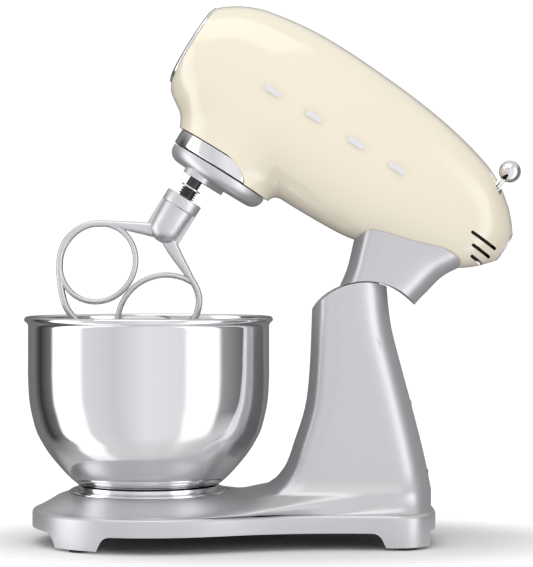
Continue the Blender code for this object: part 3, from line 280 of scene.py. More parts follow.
def make_floor():
    """A round white sheet that fades into the white behind it."""
    bm = bmesh.new()
    place = Matrix.Translation((0, 0, -0.0002)) @ Matrix.Diagonal((FLOOR_X, FLOOR_Y, 1, 1))
    bmesh.ops.create_circle(bm, cap_ends=True, segments=128, radius=1, matrix=place)
    floor = from_bmesh("floor", bm)
    look = Look("floor", (0.86, 0.86, 0.86), 0.7)
    look.tint(look.noise(3, 2), 0.995, 1.005)
    look.set("Specular IOR Level", 0.1)
    out = look.nodes["Material Output"]
    far = look.add("ShaderNodeBsdfTransparent")
    shrink = look.add("ShaderNodeMapping")
    shrink.inputs["Scale"].default_value = (1 / FLOOR_X, 1 / FLOOR_Y, 1)
    look.links.new(look.place, shrink.inputs["Vector"])
    away = look.add("ShaderNodeVectorMath", operation="LENGTH")
    look.links.new(shrink.outputs["Vector"], away.inputs[0])
    share = look.add("ShaderNodeMapRange", interpolation_type="SMOOTHSTEP")
    share.inputs["From Min"].default_value = 0.45
    share.inputs["From Max"].default_value = 0.95
    look.links.new(away.outputs["Value"], share.inputs["Value"])
    mix = look.add("ShaderNodeMixShader")
    look.links.new(share.outputs["Result"], mix.inputs["Fac"])
    look.links.new(look.shader.outputs[0], mix.inputs[1])
    look.links.new(far.outputs[0], mix.inputs[2])
    look.links.new(mix.outputs[0], out.inputs["Surface"])
    floor.data.materials.append(look.material)


def area_light(name, at, to, size, power, colour=(1, 1, 1)):
    data = bpy.data.lights.new(name, "AREA")
    data.shape = "RECTANGLE"
    data.size, data.size_y = size
    data.energy = power
    data.color = colour
    made = bpy.data.objects.new(name, data)
    made.location = at
    made.rotation_euler = (Vector(to) - Vector(at)).to_track_quat("-Z", "Y").to_euler()
    bpy.context.scene.collection.objects.link(made)
    return made


def ramp_of(nodes, stops):
    node = nodes.new("ShaderNodeValToRGB")
    ramp = node.color_ramp
    while len(ramp.elements) < len(stops):
        ramp.elements.new(0.5)
    for element, (place, shade) in zip(ramp.elements, stops):
        element.position = place
        element.color = (shade * 0.985, shade * 0.975, shade, 1)
    return node


def make_world():
    """Soft studio surroundings: bright above, dim in front, dark beside and behind, white where the camera looks."""
    world = bpy.data.worlds.new("studio")
    bpy.context.scene.world = world
    world.use_nodes = True
    nodes, links = world.node_tree.nodes, world.node_tree.links
    nodes.clear()
    place = nodes.new("ShaderNodeTexCoord").outputs["Generated"]
    split = nodes.new("ShaderNodeSeparateXYZ")
    links.new(place, split.inputs[0])
    minus = nodes.new("ShaderNodeMath")
    minus.operation = "MULTIPLY"
    minus.inputs[1].default_value = -1
    links.new(split.outputs["Y"], minus.inputs[0])
    turn = nodes.new("ShaderNodeMath")
    turn.operation = "ARCTAN2"
    links.new(split.outputs["X"], turn.inputs[0])
    links.new(minus.outputs[0], turn.inputs[1])
    share = nodes.new("ShaderNodeMapRange")
    share.inputs["From Min"].default_value = -math.pi
    share.inputs["From Max"].default_value = math.pi
    links.new(turn.outputs[0], share.inputs["Value"])
    round_about = ramp_of(nodes, AROUND)
    links.new(share.outputs[0], round_about.inputs[0])
    above = nodes.new("ShaderNodeMapRange")
    above.interpolation_type = "SMOOTHSTEP"
    above.inputs["From Min"].default_value = 0.25
    above.inputs["From Max"].default_value = 0.75
    links.new(split.outputs["Z"], above.inputs["Value"])
    sky = nodes.new("ShaderNodeMix")
    sky.data_type = "RGBA"
    sky.inputs[7].default_value = (OVERHEAD, OVERHEAD, OVERHEAD, 1)
    links.new(above.outputs[0], sky.inputs["Factor"])
    links.new(round_about.outputs[0], sky.inputs[6])
    soft = nodes.new("ShaderNodeBackground")
    links.new(sky.outputs[2], soft.inputs["Color"])
    white = nodes.new("ShaderNodeBackground")
    white.inputs["Color"].default_value = (1, 1, 1, 1)
    white.inputs["Strength"].default_value = 1.1
    seen = nodes.new("ShaderNodeLightPath")
    mix = nodes.new("ShaderNodeMixShader")
    links.new(seen.outputs["Is Camera Ray"], mix.inputs["Fac"])
    links.new(soft.outputs[0], mix.inputs[1])
    links.new(white.outputs[0], mix.inputs[2])
    out = nodes.new("ShaderNodeOutputWorld")
    links.new(mix.outputs[0], out.inputs["Surface"])


# Shade round the horizon, by share of a turn from behind, over the left, the front and the right, to behind again.
AROUND = ((0.0, 0.16), (0.12, 0.22), (0.16, 0.04), (0.215, 0.2), (0.232, 2.2), (0.3, 2.2), (0.33, 0.9), (0.42, 0.78),
          (0.5, 1.0), (0.6, 0.95), (0.635, 2.2), (0.69, 2.2), (0.712, 0.4), (0.79, 0.16), (0.86, 0.3), (1.0, 0.16))
OVERHEAD = 0.78
FLOOR_X, FLOOR_Y = 0.4, 0.24


# Shapes, drawn in metres from the bowl's axis.

TURN = {"X": Matrix.Rotation(math.pi / 2, 4, "Y"), "Y": Matrix.Rotation(-math.pi / 2, 4, "X"), "Z": Matrix()}


def from_bmesh(name, bm):
    mesh = bpy.data.meshes.new(name)
    bm.normal_update()
    bm.to_mesh(mesh)
    bm.free()
    made = bpy.data.objects.new(name, mesh)
    bpy.context.scene.collection.objects.link(made)
    return made


def applied(made):
    """The object with its modifiers worked into its mesh."""
    bpy.context.view_layer.update()
    mesh = bpy.data.meshes.new_from_object(made.evaluated_get(bpy.context.evaluated_depsgraph_get()))
    old = made.data
    made.modifiers.clear()
    made.data = mesh
    if isinstance(old, bpy.types.Mesh) and old.users == 0:
        bpy.data.meshes.remove(old)
    return made


def combine(body, operation, tools):
    for tool in tools:
        modifier = body.modifiers.new("combine", "BOOLEAN")
        modifier.operation = operation
        modifier.object = tool
        applied(body)
        bpy.data.objects.remove(tool, do_unlink=True)
    return body


def cut(body, *tools):
    return combine(body, "DIFFERENCE", tools)


def join(body, *tools):
    return combine(body, "UNION", tools)


def box(name, x, y, z):
    bm = bmesh.new()
    size = [high - low for low, high in (x, y, z)]
    centre = [(low + high) / 2 for low, high in (x, y, z)]
    bmesh.ops.create_cube(bm, size=1.0, matrix=Matrix.LocRotScale(centre, None, size))
    return from_bmesh(name, bm)


def rod(name, radius, low, high, at=(0.0, 0.0), along="Z", segments=96):
    place = {"X": (0, *at), "Y": (at[0], 0, at[1]), "Z": (*at, 0)}[along]
    bm = bmesh.new()
    bmesh.ops.create_cone(
        bm,
        cap_ends=True,
        segments=segments,
        radius1=radius,
        radius2=radius,
        depth=high - low,
        matrix=Matrix.Translation(place) @ TURN[along] @ Matrix.Translation((0, 0, (low + high) / 2)),
    )
    return from_bmesh(name, bm)


def turned(name, profile, at=(0.0, 0.0, 0.0), along="Z", steps=96, closed=False):
    """A profile of (radius, height) points turned about an axis."""
    bm = bmesh.new()
    matrix = Matrix.Translation(at) @ TURN[along]
    rows = []
    for radius, height in profile:
        if radius < 1e-7:
            rows.append([bm.verts.new(matrix @ Vector((0, 0, height)))])
            continue
        row = []
        for i in range(steps):
            turn = 2 * math.pi * i / steps
            row.append(bm.verts.new(matrix @ Vector((radius * math.cos(turn), radius * math.sin(turn), height))))
        rows.append(row)
    pairs = list(zip(rows, rows[1:])) + ([(rows[-1], rows[0])] if closed else [])
    for first, second in pairs:
        if len(first) == 1 and len(second) == 1:
            continue
        for i in range(steps):
            j = (i + 1) % steps
            corners = [first[i % len(first)], first[j % len(first)], second[j % len(second)], second[i % len(second)]]
            bm.faces.new(list(dict.fromkeys(corners)))
    bmesh.ops.recalc_face_normals(bm, faces=bm.faces)
    return from_bmesh(name, bm)


def plate(name, outlines, low, high, along="Z"):
    """A flat outline, with any holes, between two heights; along Y the outline's points are (x, z)."""
    curve = bpy.data.curves.new(name, "CURVE")
    curve.dimensions = "2D"
    curve.fill_mode = "BOTH"
    curve.extrude = (high - low) / 2
    for outline in outlines:
        spline = curve.splines.new("POLY")
        spline.points.add(len(outline) - 1)
        spline.use_cyclic_u = True
        for point, (first, second) in zip(spline.points, outline):
            point.co = (first, second, 0, 1)
    made = bpy.data.objects.new(name, curve)
    bpy.context.scene.collection.objects.link(made)
    bpy.context.view_layer.update()
    mesh = bpy.data.meshes.new_from_object(made.evaluated_get(bpy.context.evaluated_depsgraph_get()))
    bpy.data.objects.remove(made, do_unlink=True)
    bm = bmesh.new()
    bm.from_mesh(mesh)
    bpy.data.meshes.remove(mesh)
    bmesh.ops.remove_doubles(bm, verts=bm.verts, dist=1e-6)
    lift = Matrix.Translation((0, 0, (low + high) / 2))
    if along == "Y":
        lift = Matrix.Translation((0, (low + high) / 2, 0)) @ Matrix.Rotation(math.pi / 2, 4, "X")
    bmesh.ops.transform(bm, matrix=lift, verts=bm.verts)
    bmesh.ops.recalc_face_normals(bm, faces=bm.faces)
    return from_bmesh(name, bm)


def loft(name, rings, ends=True):
    bm = bmesh.new()
    rows = [[bm.verts.new(point) for point in one] for one in rings]
    for lower, upper in zip(rows, rows[1:]):
        for i in range(len(lower)):
            j = (i + 1) % len(lower)
            bm.faces.new((lower[i], lower[j], upper[j], upper[i]))
    if ends:
        bm.faces.new(rows[0][::-1])
        bm.faces.new(rows[-1])
    bmesh.ops.recalc_face_normals(bm, faces=bm.faces)
    return from_bmesh(name, bm)


def tube(name, path, radius, cyclic=False, sides=12):
    """A round wire along a path, with round ends."""
    points = [Vector(point) for point in path]
    bm = bmesh.new()
    rows = []
    count = len(points)
    normal = None
    for i, point in enumerate(points):
        after = points[(i + 1) % count] if cyclic or i < count - 1 else point
        before = points[i - 1] if cyclic or i > 0 else point
        ahead = (after - before).normalized()
        if normal is None:
            normal = ahead.orthogonal().normalized()
        normal = (normal - ahead * normal.dot(ahead)).normalized()
        other = ahead.cross(normal)
        row = []
        for k in range(sides):
            turn = 2 * math.pi * k / sides
            row.append(bm.verts.new(point + radius * (math.cos(turn) * normal + math.sin(turn) * other)))
        rows.append(row)
    for i in range(count if cyclic else count - 1):
        first, second = rows[i], rows[(i + 1) % count]
        for k in range(sides):
            j = (k + 1) % sides
            bm.faces.new((first[k], first[j], second[j], second[k]))
    if not cyclic:
        bm.faces.new(rows[0][::-1])
        bm.faces.new(rows[-1])
    bmesh.ops.recalc_face_normals(bm, faces=bm.faces)
    return from_bmesh(name, bm)


def set_down(made, where, body, look, *nodes, bevel=0.0, sharp=35.0, segments=2):
    """Puts a finished piece in place of its nodes: shading, edge rounding, material, body."""
    made.data.transform(where)
    made.data.shade_smooth()
    made.data.set_sharp_from_angle(angle=math.radians(sharp))
    if bevel:
        rounding = made.modifiers.new("edges", "BEVEL")
        rounding.width = bevel
        rounding.segments = segments
        rounding.limit_method = "ANGLE"
        rounding.angle_limit = math.radians(sharp)
        rounding.use_clamp_overlap = True
        rounding.harden_normals = True
    made.data.materials.clear()
    made.data.materials.append(look)
    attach(made, body)
    if nodes:
        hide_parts(*nodes)
    return made


def curve_through(points):
    """A smooth function of x through (x, value) points given in mm."""
    points = [(x * MM, v * MM) for x, v in points]

    def slope(i):
        low, high = max(i - 1, 0), min(i + 1, len(points) - 1)
        return (points[high][1] - points[low][1]) / (points[high][0] - points[low][0])

    def value(x):
        if x <= points[0][0]:
            return points[0][1]
        if x >= points[-1][0]:
            return points[-1][1]
        i = max(k for k, point in enumerate(points) if point[0] <= x)
        (x0, v0), (x1, v1) = points[i], points[i + 1]
        span = x1 - x0
        t = (x - x0) / span
        return (
            v0 * (1 + 2 * t) * (1 - t) ** 2
            + v1 * t * t * (3 - 2 * t)
            + slope(i) * span * t * (1 - t) ** 2
            - slope(i + 1) * span * t * t * (1 - t)
        )

    return value


def smooth_step(low, high, x):
    t = min(max((x - low) / (high - low), 0.0), 1.0)
    return t * t * (3 - 2 * t)


# Stand.

FRONT_R, REAR_X = 106 * MM, 261 * MM
EDGE_Z, SEAT_Z, SEAT_R, COLUMN_FOOT_Z, COLUMN_TOP_Z = 31 * MM, 45 * MM, 73 * MM, 48 * MM, 245 * MM
SKIRT_BOTTOM, SKIRT_TOP, LEG_BOTTOM, WALL = 15 * MM, 27 * MM, 2.3 * MM, 4 * MM
COLUMN_HALF, ARC_R, ARC_GAP, KNUCKLE_HALF = 38.5 * MM, 58.3 * MM, 1.2 * MM, 15 * MM
RING_HALF = 44
base_side = curve_through(
    [(0, 106), (25, 104.5), (50, 99), (80, 88), (110, 79), (140, 74), (170, 72), (200, 73.2), (225, 75.5), (261, 76)]
)
column_front = curve_through(
    [(48, 105), (55, 115), (68, 125), (90, 133), (120, 142.5), (150, 146.5), (205, 149), (245, 150)]
)
column_rear = curve_through([(48, 257.5), (78, 251.5), (120, 241), (165, 229), (198, 221), (245, 216)])
column_half = curve_through([(48, 61), (60, 55), (80, 50.5), (110, 46.5), (160, 41.5), (205, 39), (245, 38.5)])


def base_half(x, inset):
    """Half-width of the base: a round front that narrows to a waist, and a squarer back."""
    front, back = FRONT_R - inset, REAR_X - inset
    side = base_side(x) - inset
    if x < 20 * MM:
        round_front = math.sqrt(max(front**2 - x**2, 0.0))
        side = round_front + (side - round_front) * smooth_step(-10 * MM, 20 * MM, x)
    corner = 42 * MM
    if x > back - corner:
        side *= max(1 - ((x - back + corner) / corner) ** 2.6, 0.0) ** (1 / 2.6)
    return max(side, 0.0)


def column_side(x, low, high, half):
    """Half-width of a column section: small round corners in front and large ones behind."""
    front, back = 14 * MM, 34 * MM
    if x < low + front:
        return half * max(1 - ((low + front - x) / front) ** 2.2, 0.0) ** (1 / 2.2) * 0.98
    if x > high - back:
        return half * max(1 - ((x - high + back) / back) ** 2.4, 0.0) ** (1 / 2.4)
    return half * (0.98 + 0.02 * smooth_step(low + front, low + 2 * front, x))


def section(low, high, half_at, height_at):
    """A closed loop of points from the front round one side to the back and round the other."""
    side = []
    for i in range(RING_HALF + 1):
        x = low + (high - low) * (1 - math.cos(math.pi * i / RING_HALF)) / 2
        side.append((x, 0.0 if i in (0, RING_HALF) else half_at(x)))
    ring = [(x, -y) for x, y in side] + [(x, y) for x, y in side[-2:0:-1]]
    return [(x, y, height_at(x, y)) for x, y in ring]


def base_top(x, y, share):
    """Height of the base's top: a round rise under the bowl, and behind it a hollow rise to the column's foot."""
    dome = 1 - smooth_step(SEAT_R, FRONT_R, math.hypot(x, y))
    rise = share**1.7 * smooth_step(0, 110 * MM, x)
    return EDGE_Z + (SEAT_Z - EDGE_Z) * (1 - (1 - dome) * (1 - rise))


def stand_solid(name, inset, bottom):
    """The stand as one solid, drawn in by a wall's thickness when it is the hollow inside."""
    back = REAR_X - inset
    rings = []
    edges = [(bottom, 0.0), (SKIRT_BOTTOM + 2 * MM, 0.0), (SKIRT_TOP - 2 * MM, 0.0)]
    for i in range(7):
        turn = math.pi / 2 * i / 6
        edges.append((SKIRT_TOP + (EDGE_Z - SKIRT_TOP) * math.sin(turn), 4 * MM * (1 - math.cos(turn))))
    for height, draw_in in edges:
        edge = inset + draw_in
        z = max(height - inset, bottom)
        rings.append(
            section(-FRONT_R + edge, back - draw_in, lambda x, e=edge: base_half(x, e), lambda x, y, z=z: z)
        )
    foot_low = column_front(COLUMN_FOOT_Z) + inset
    foot_high = column_rear(COLUMN_FOOT_Z) - inset
    foot_half = column_half(COLUMN_FOOT_Z) - inset
    for k in range(1, 22):
        share = k / 22
        low = -FRONT_R + inset + 4 * MM + (foot_low + FRONT_R - inset - 4 * MM) * share
        high = back - 4 * MM + (foot_high - back + 4 * MM) * share

        def half_at(x, low=low, high=high, share=share):
            along = (x - low) / (high - low)
            edge = inset + 4 * MM
            wide = base_half(edge - FRONT_R + (REAR_X + FRONT_R - 2 * edge) * along, edge)
            narrow = column_side(foot_low + (foot_high - foot_low) * along, foot_low, foot_high, foot_half)
            return wide + (narrow - wide) * share**1.3

        def height_at(x, y, share=share):
            return base_top(x, y, share) + (COLUMN_FOOT_Z - SEAT_Z) * share**4 - inset

        rings.append(section(low, high, half_at, height_at))
    for k in range(26):
        z = COLUMN_FOOT_Z + (COLUMN_TOP_Z - COLUMN_FOOT_Z) * (k / 25) ** 1.35
        low, high, half = column_front(z) + inset, column_rear(z) - inset, column_half(z) - inset
        drop = inset * (1 - smooth_step(COLUMN_FOOT_Z, 90 * MM, z))
        rings.append(
            section(low, high, lambda x, a=low, b=high, h=half: column_side(x, a, b, h), lambda x, y, z=z - drop: z)
        )
    return loft(name, rings)


def above_arc(name, radius, half):
    """Everything above a round top of this radius about the hinge."""
    steps = 72
    turns = [math.radians(178 - 176 * i / steps) for i in range(steps + 1)]
    arc = [(PIVOT_X + radius * math.cos(turn), PIVOT_Z + radius * math.sin(turn)) for turn in turns]
    reach = radius + 60 * MM
    outline = [(PIVOT_X - reach, arc[0][1]), *arc, (PIVOT_X + reach, arc[-1][1])]
    outline += [(PIVOT_X + reach, PIVOT_Z + reach), (PIVOT_X - reach, PIVOT_Z + reach)]
    return plate(name, [outline], -half, half, along="Y")


def legs(name, low, high, grow=0.0):
    """Blocks that hold the four legs, one at each corner of the base."""
    return [
        box(
            f"{name}_{i}{side:+d}",
            (near - grow, far + grow),
            sorted((side * (half - grow), side * 130 * MM)),
            (low, high),
        )
        for i, (near, far, half) in enumerate(((-80 * MM, -36 * MM, 58 * MM), (208 * MM, 256 * MM, 50 * MM)))
        for side in (-1, 1)
    ]


def leg_outline(points, radius):
    """An outline with its corners rounded; each point is (x, z, round or not)."""
    outline = []
    for i, (x, z, soft) in enumerate(points):
        corner = Vector((x, z))
        if not soft:
            outline.append((x, z))
            continue
        back = Vector(points[i - 1][:2]) - corner
        ahead = Vector(points[(i + 1) % len(points)][:2]) - corner
        start, end = corner + back.normalized() * radius, corner + ahead.normalized() * radius
        for k in range(9):
            t = k / 8
            place = start * (1 - t) ** 2 + corner * 2 * t * (1 - t) + end * t**2
            outline.append((place.x, place.y))
    return outline


def under_base():
    """What is cut away under the base to leave its four legs."""
    between = [(-41, -5, 0), (-41, 2, 0), (-35, SKIRT_BOTTOM / MM, 1)]
    between += [(207, SKIRT_BOTTOM / MM, 1), (213, 2, 0), (213, -5, 0)]
    front = [(-140, -5, 0), (-79, -5, 0), (-79, 2, 0), (-84, SKIRT_BOTTOM / MM, 1), (-140, SKIRT_BOTTOM / MM, 0)]
    tools = []
    for name, points in (("between", between), ("front", front)):
        outline = leg_outline([(x * MM, z * MM, soft) for x, z, soft in points], 7 * MM)
        tools.append(plate(name, [outline], -130 * MM, 130 * MM, along="Y"))
    tools.append(box("along", (-150 * MM, 300 * MM), (-54 * MM, 54 * MM), (-5 * MM, SKIRT_BOTTOM)))
    return tools


def knuckle_slot():
    half = KNUCKLE_HALF + MM
    low, high = math.radians(70), math.radians(139)
    reach, inner = ARC_R + 8 * MM, ARC_R - WALL - 6 * MM
    turns = [(reach, low + (high - low) * i / 24) for i in range(25)] + [(inner, high), (inner, low)]
    outline = [(PIVOT_X + radius * math.cos(turn), PIVOT_Z + radius * math.sin(turn)) for radius, turn in turns]
    return plate("knuckle_slot", [outline], -half, half, along="Y")


def make_stand():
    body = stand_solid("stand", 0, LEG_BOTTOM)
    hollow = stand_solid("hollow", WALL, -5 * MM)
    cut(hollow, *legs("leg_block", -10 * MM, EDGE_Z + 10 * MM, 1.5 * MM))
    cut(hollow, above_arc("hollow_top", ARC_R - WALL, 60 * MM))
    cut(body, *under_base(), hollow, above_arc("column_top", ARC_R, 80 * MM), knuckle_slot())
    for side in (-1, 1):
        near, far = sorted((side * (KNUCKLE_HALF + 1.5 * MM), side * (COLUMN_HALF - 2 * MM)))
        boss = rod("boss", 13 * MM, near, far, at=(PIVOT_X, PIVOT_Z), along="Y", segments=48)
        join(body, boss)
        near, far = sorted((side * KNUCKLE_HALF, side * (COLUMN_HALF - WALL)))
        cut(body, rod("bush_hole", 8.3 * MM, near, far, at=(PIVOT_X, PIVOT_Z), along="Y", segments=48))
    cut(body, rod("seat_pocket", SEAT_R + 0.3 * MM, SEAT_Z, SEAT_Z + 6 * MM, segments=160))
    cut(body, rod("seat_screw_hole", 5 * MM, 20 * MM, SEAT_Z + 2 * MM, segments=32))
    cut(body, rod("button_hole", 9.3 * MM, 215 * MM, 270 * MM, at=(0, 120 * MM), along="X", segments=48))
    cut(body, rod("gland_hole", 6 * MM, 235 * MM, 275 * MM, at=(0, 60 * MM), along="X", segments=32))
    return set_down(body, ON_STAND, "stand", SILVER, "stand_casting", bevel=0.8 * MM)


# Head, drawn closed.

NOSE_X, NOSE_Z, TAIL_X, TAIL_Z = -80 * MM, 328 * MM, 256.5 * MM, 322 * MM
SHELL, HUB_R, HUB_LOW, HUB_HIGH, LOBE_R = 2.5 * MM, 49 * MM, 243.5 * MM, 257 * MM, 51.5 * MM
HEAD_STATIONS, HEAD_SIDES = 84, 96
head_top = curve_through(
    [(-80, 368.5), (-75, 373), (-60, 382.5), (-40, 390), (0, 396.5), (35, 398), (80, 396.5), (120, 393.5), (160, 388),
     (200, 378.5), (220, 370), (240, 356), (250, 346), (256.5, 338)]
)
head_bottom = curve_through(
    [(-80, 287.5), (-76, 281), (-60, 270), (-50, 263), (-30, 258), (20, 253), (60, 251), (110, 252), (135, 254.5),
     (150, 260), (180, 267), (205, 274), (230, 282.5), (245, 293.5), (256.5, 306)]
)
head_half = curve_through(
    [(-80, 40.5), (-70, 46.5), (-55, 51.5), (-30, 55), (10, 58), (60, 60), (110, 60), (150, 58.5), (185, 55), (212, 50),
     (232, 43), (247, 31), (256.5, 16)]
)


def head_section(x, grow):
    power = 2 + 0.35 * smooth_step(-80 * MM, -40 * MM, x) * (1 - smooth_step(215 * MM, 255 * MM, x))
    top, bottom, half = head_top(x) + grow, head_bottom(x) - grow, head_half(x) + grow
    points = []
    for i in range(HEAD_SIDES):
        turn = 2 * math.pi * i / HEAD_SIDES
        across, up = math.cos(turn), math.sin(turn)
        y = half * math.copysign(abs(across) ** (2 / power), across)
        z = (top + bottom) / 2 + (top - bottom) / 2 * math.copysign(abs(up) ** (2 / power), up)
        points.append((x, y, z))
    return points


def head_solid(name, grow):
    low, high = NOSE_X - grow, TAIL_X + grow
    rings = []
    for i in range(HEAD_STATIONS + 1):
        share = (1 - math.cos(math.pi * i / HEAD_STATIONS)) / 2
        share = 0.65 * share + 0.35 * i / HEAD_STATIONS
        x = low + (high - low) * share
        rings.append([(x, y, z) for _, y, z in head_section(NOSE_X + (TAIL_X - NOSE_X) * share, grow)])
    return loft(name, rings)


def head_skin(name):
    """The head's outer form with the lobe over the hub blended into it, cut level under the lobe."""
    low, high = NOSE_X, TAIL_X
    places = []
    for i in range(HEAD_STATIONS + 1):
        share = (1 - math.cos(math.pi * i / HEAD_STATIONS)) / 2
        places.append(low + (high - low) * (0.65 * share + 0.35 * i / HEAD_STATIONS))
    places += [side * LOBE_R + 0.9 * MM * step for side in (-1, 1) for step in range(-12, 13)]
    places = sorted(places)
    places = [x for x, after in zip(places, places[1:]) if after - x > 0.3 * MM] + [high]
    rings = []
    for x in places:
        power = 2 + 0.35 * smooth_step(-80 * MM, -40 * MM, x) * (1 - smooth_step(215 * MM, 255 * MM, x))
        top, bottom, half = head_top(x), head_bottom(x), head_half(x)
        centre, tall = (top + bottom) / 2, (top - bottom) / 2

        def depth(y, z):
            """Below nothing inside the skin, above nothing outside it."""
            out = ((abs(y) / half) ** power + (abs(z - centre) / tall) ** power) ** (1 / power) - 1
            shell = out * min(half, tall)
            lobe = max(math.hypot(x, y) - LOBE_R, 236 * MM - z, z - 300 * MM)
            mix = min(max(0.5 + 0.5 * (lobe - shell) / BLEND, 0.0), 1.0)
            return lobe + (shell - lobe) * mix - BLEND * mix * (1 - mix)

        ring = []
        for i in range(SKIN_SIDES):
            turn = 2 * math.pi * i / SKIN_SIDES
            c, s = math.cos(turn), math.sin(turn)
            near, far = 5 * MM, 130 * MM
            for _ in range(18):
                reach = (near + far) / 2
                if depth(reach * c, centre + reach * s) < 0:
                    near = reach
                else:
                    far = reach
            ring.append((x, near * c, centre + near * s))
        rings.append(ring)
    body = loft(name, rings)
    return cut(body, box("level", (-75 * MM, 75 * MM), (-75 * MM, 75 * MM), (200 * MM, HUB_LOW)))


BLEND = 11 * MM
SKIN_SIDES = 152


def rounded_bar(name, x, z, length, height, low, high, slope=0.0, steps=14):
    radius = height / 2
    points = []
    for end in (1, -1):
        for i in range(steps + 1):
            turn = -math.pi / 2 + math.pi * i / steps
            points.append((end * (length / 2 - radius + radius * math.cos(turn)), end * radius * math.sin(turn)))
    c, s = math.cos(slope), math.sin(slope)
    outline = [(x + a * c - b * s, z + a * s + b * c) for a, b in points]
    return plate(name, [outline], low, high, along="Y")


VENTS = ((221, 250, 315), (228, 250, 306), (233, 248, 297.5))


def make_housing():
    body = head_skin("housing")
    front = [(-70, 257.9), (0, 257.8), (6, 256.9), (12, 255), (20, 251), (25, 247), (28.5, 240), (-70, 240)]
    cut(
        body,
        head_solid("head_hollow", -SHELL),
        rod("gear_room", HUB_R - MM, 250 * MM, 293 * MM),
        rod("hub_room", HUB_R + 0.3 * MM, 230 * MM, HUB_HIGH + 0.3 * MM),
        plate("open_front", [[(x * MM, z * MM) for x, z in front]], -70 * MM, 70 * MM, along="Y"),
        rod("nose_opening", 30 * MM, -95 * MM, -72 * MM, at=(0, NOSE_Z), along="X"),
        rod("tail_opening", 10 * MM, 250 * MM, 265 * MM, at=(0, TAIL_Z), along="X"),
        box("lever_slot", (218.5 * MM, 227 * MM), (-30 * MM, 30 * MM), (345 * MM, 385 * MM)),
        box("cable_opening", (165 * MM, 195 * MM), (-12 * MM, 12 * MM), (250 * MM, 285 * MM)),
    )
    for low, high, z in VENTS:
        centre, length = (low + high) / 2 * MM, (high - low) * MM
        cut(body, rounded_bar("vent", centre, z * MM, length, 3 * MM, -70 * MM, 70 * MM, math.radians(-2)))
    return set_down(body, ON_HEAD, "head", CREAM, "head_housing", bevel=0.5 * MM)


def make_neck():
    front = curve_through([(200, 150), (211, 149), (230, 146), (254, 138), (290, 126)])
    rear = curve_through([(200, 215), (235, 216), (250, 219), (270, 224), (290, 236)])
    half = curve_through([(200, 38.5), (235, 38.5), (265, 40), (290, 41)])
    rings = []
    for k in range(31):
        z = (200 + 3 * k) * MM
        a, b, h = front(z), rear(z), half(z)
        rings.append(section(a, b, lambda x, a=a, b=b, h=h: column_side(x, a, b, h), lambda x, y, z=z: z))
    body = loft("neck", rings)
    arc = rod("neck_arc", ARC_R + ARC_GAP, -60 * MM, 60 * MM, at=(PIVOT_X, PIVOT_Z), along="Y", segments=240)
    cut(body, arc, head_solid("head_seat", 0.3 * MM))
    centre, arm, spread = math.radians(120), ARC_R + 10 * MM, math.radians(9.5)
    around = [(17 * MM, centre + math.radians(a)) for a in range(35, 326, 5)]
    around += [(arm, centre - spread), (arm, centre + spread)]
    outline = [(PIVOT_X + radius * math.cos(turn), PIVOT_Z + radius * math.sin(turn)) for radius, turn in around]
    join(body, plate("knuckle", [outline], -KNUCKLE_HALF, KNUCKLE_HALF, along="Y"))
    cut(body, rod("pin_hole", 6.3 * MM, -60 * MM, 60 * MM, at=(PIVOT_X, PIVOT_Z), along="Y", segments=48))
    cut(body, box("neck_cable_hole", (168 * MM, 192 * MM), (-9 * MM, 9 * MM), (242 * MM, 300 * MM)))
    return set_down(body, ON_HEAD, "head", SILVER, "neck_casting", bevel=0.8 * MM)


TRIM_Z = 327 * MM


def make_trim():
    nose = [(0, NOSE_X - 0.3 * MM), (39.5 * MM, NOSE_X - 0.3 * MM), (39.5 * MM, NOSE_X - 1.6 * MM)]
    for i in range(9):
        turn = math.pi / 2 * i / 8
        nose.append(((39 - 3 * math.sin(turn)) * MM, NOSE_X - (2.2 + 1.2 * math.sin(turn)) * MM))
    nose += [(28 * MM, NOSE_X - 3.75 * MM), (18 * MM, NOSE_X - 4.05 * MM)]
    nose += [(8 * MM, NOSE_X - 4.2 * MM), (0, NOSE_X - 4.2 * MM)]
    nose_cap = turned("nose_cap", nose, at=(0, 0, NOSE_Z), along="X")
    set_down(nose_cap, ON_HEAD, "head", CHROME, "nose_disc", bevel=0.3 * MM)
    tail = [(0, TAIL_X + 1.9 * MM), (9 * MM, TAIL_X + 1.9 * MM), (13.5 * MM, TAIL_X + 1.6 * MM), (14.8 * MM, TAIL_X + MM),
            (15 * MM, TAIL_X + 0.3 * MM), (0, TAIL_X + 0.3 * MM)]
    tail_cap = turned("tail_cap", tail, at=(0, 0, TAIL_Z), along="X")
    set_down(tail_cap, ON_HEAD, "head", CHROME, "rear_disc", bevel=0.2 * MM)
    number = 0
    for side in (-1, 1):
        for x in (5 * MM, 48 * MM, 92 * MM, 135 * MM):
            number += 1
            face = head_half(x)
            low, high = sorted((side * (face - 0.6 * MM), side * (face + 2 * MM)))
            bar = rounded_bar(f"bar_{number}", x, TRIM_Z, 17 * MM, 5 * MM, low, high)
            set_down(bar, ON_HEAD, "head", CHROME, f"trim_bar_{number}", bevel=0.7 * MM, segments=3)
    hub = [(HUB_R, HUB_HIGH), (HUB_R, HUB_LOW + 1.5 * MM), (HUB_R - 0.5 * MM, HUB_LOW + 0.5 * MM), (HUB_R - 1.5 * MM, HUB_LOW),
           (HUB_R - 2.5 * MM, HUB_LOW + 0.4 * MM), (HUB_R - 2.5 * MM, HUB_HIGH)]
    set_down(turned("hub_band", hub, closed=True, steps=160), ON_HEAD, "head", CHROME, "hub_ring", bevel=0.3 * MM)


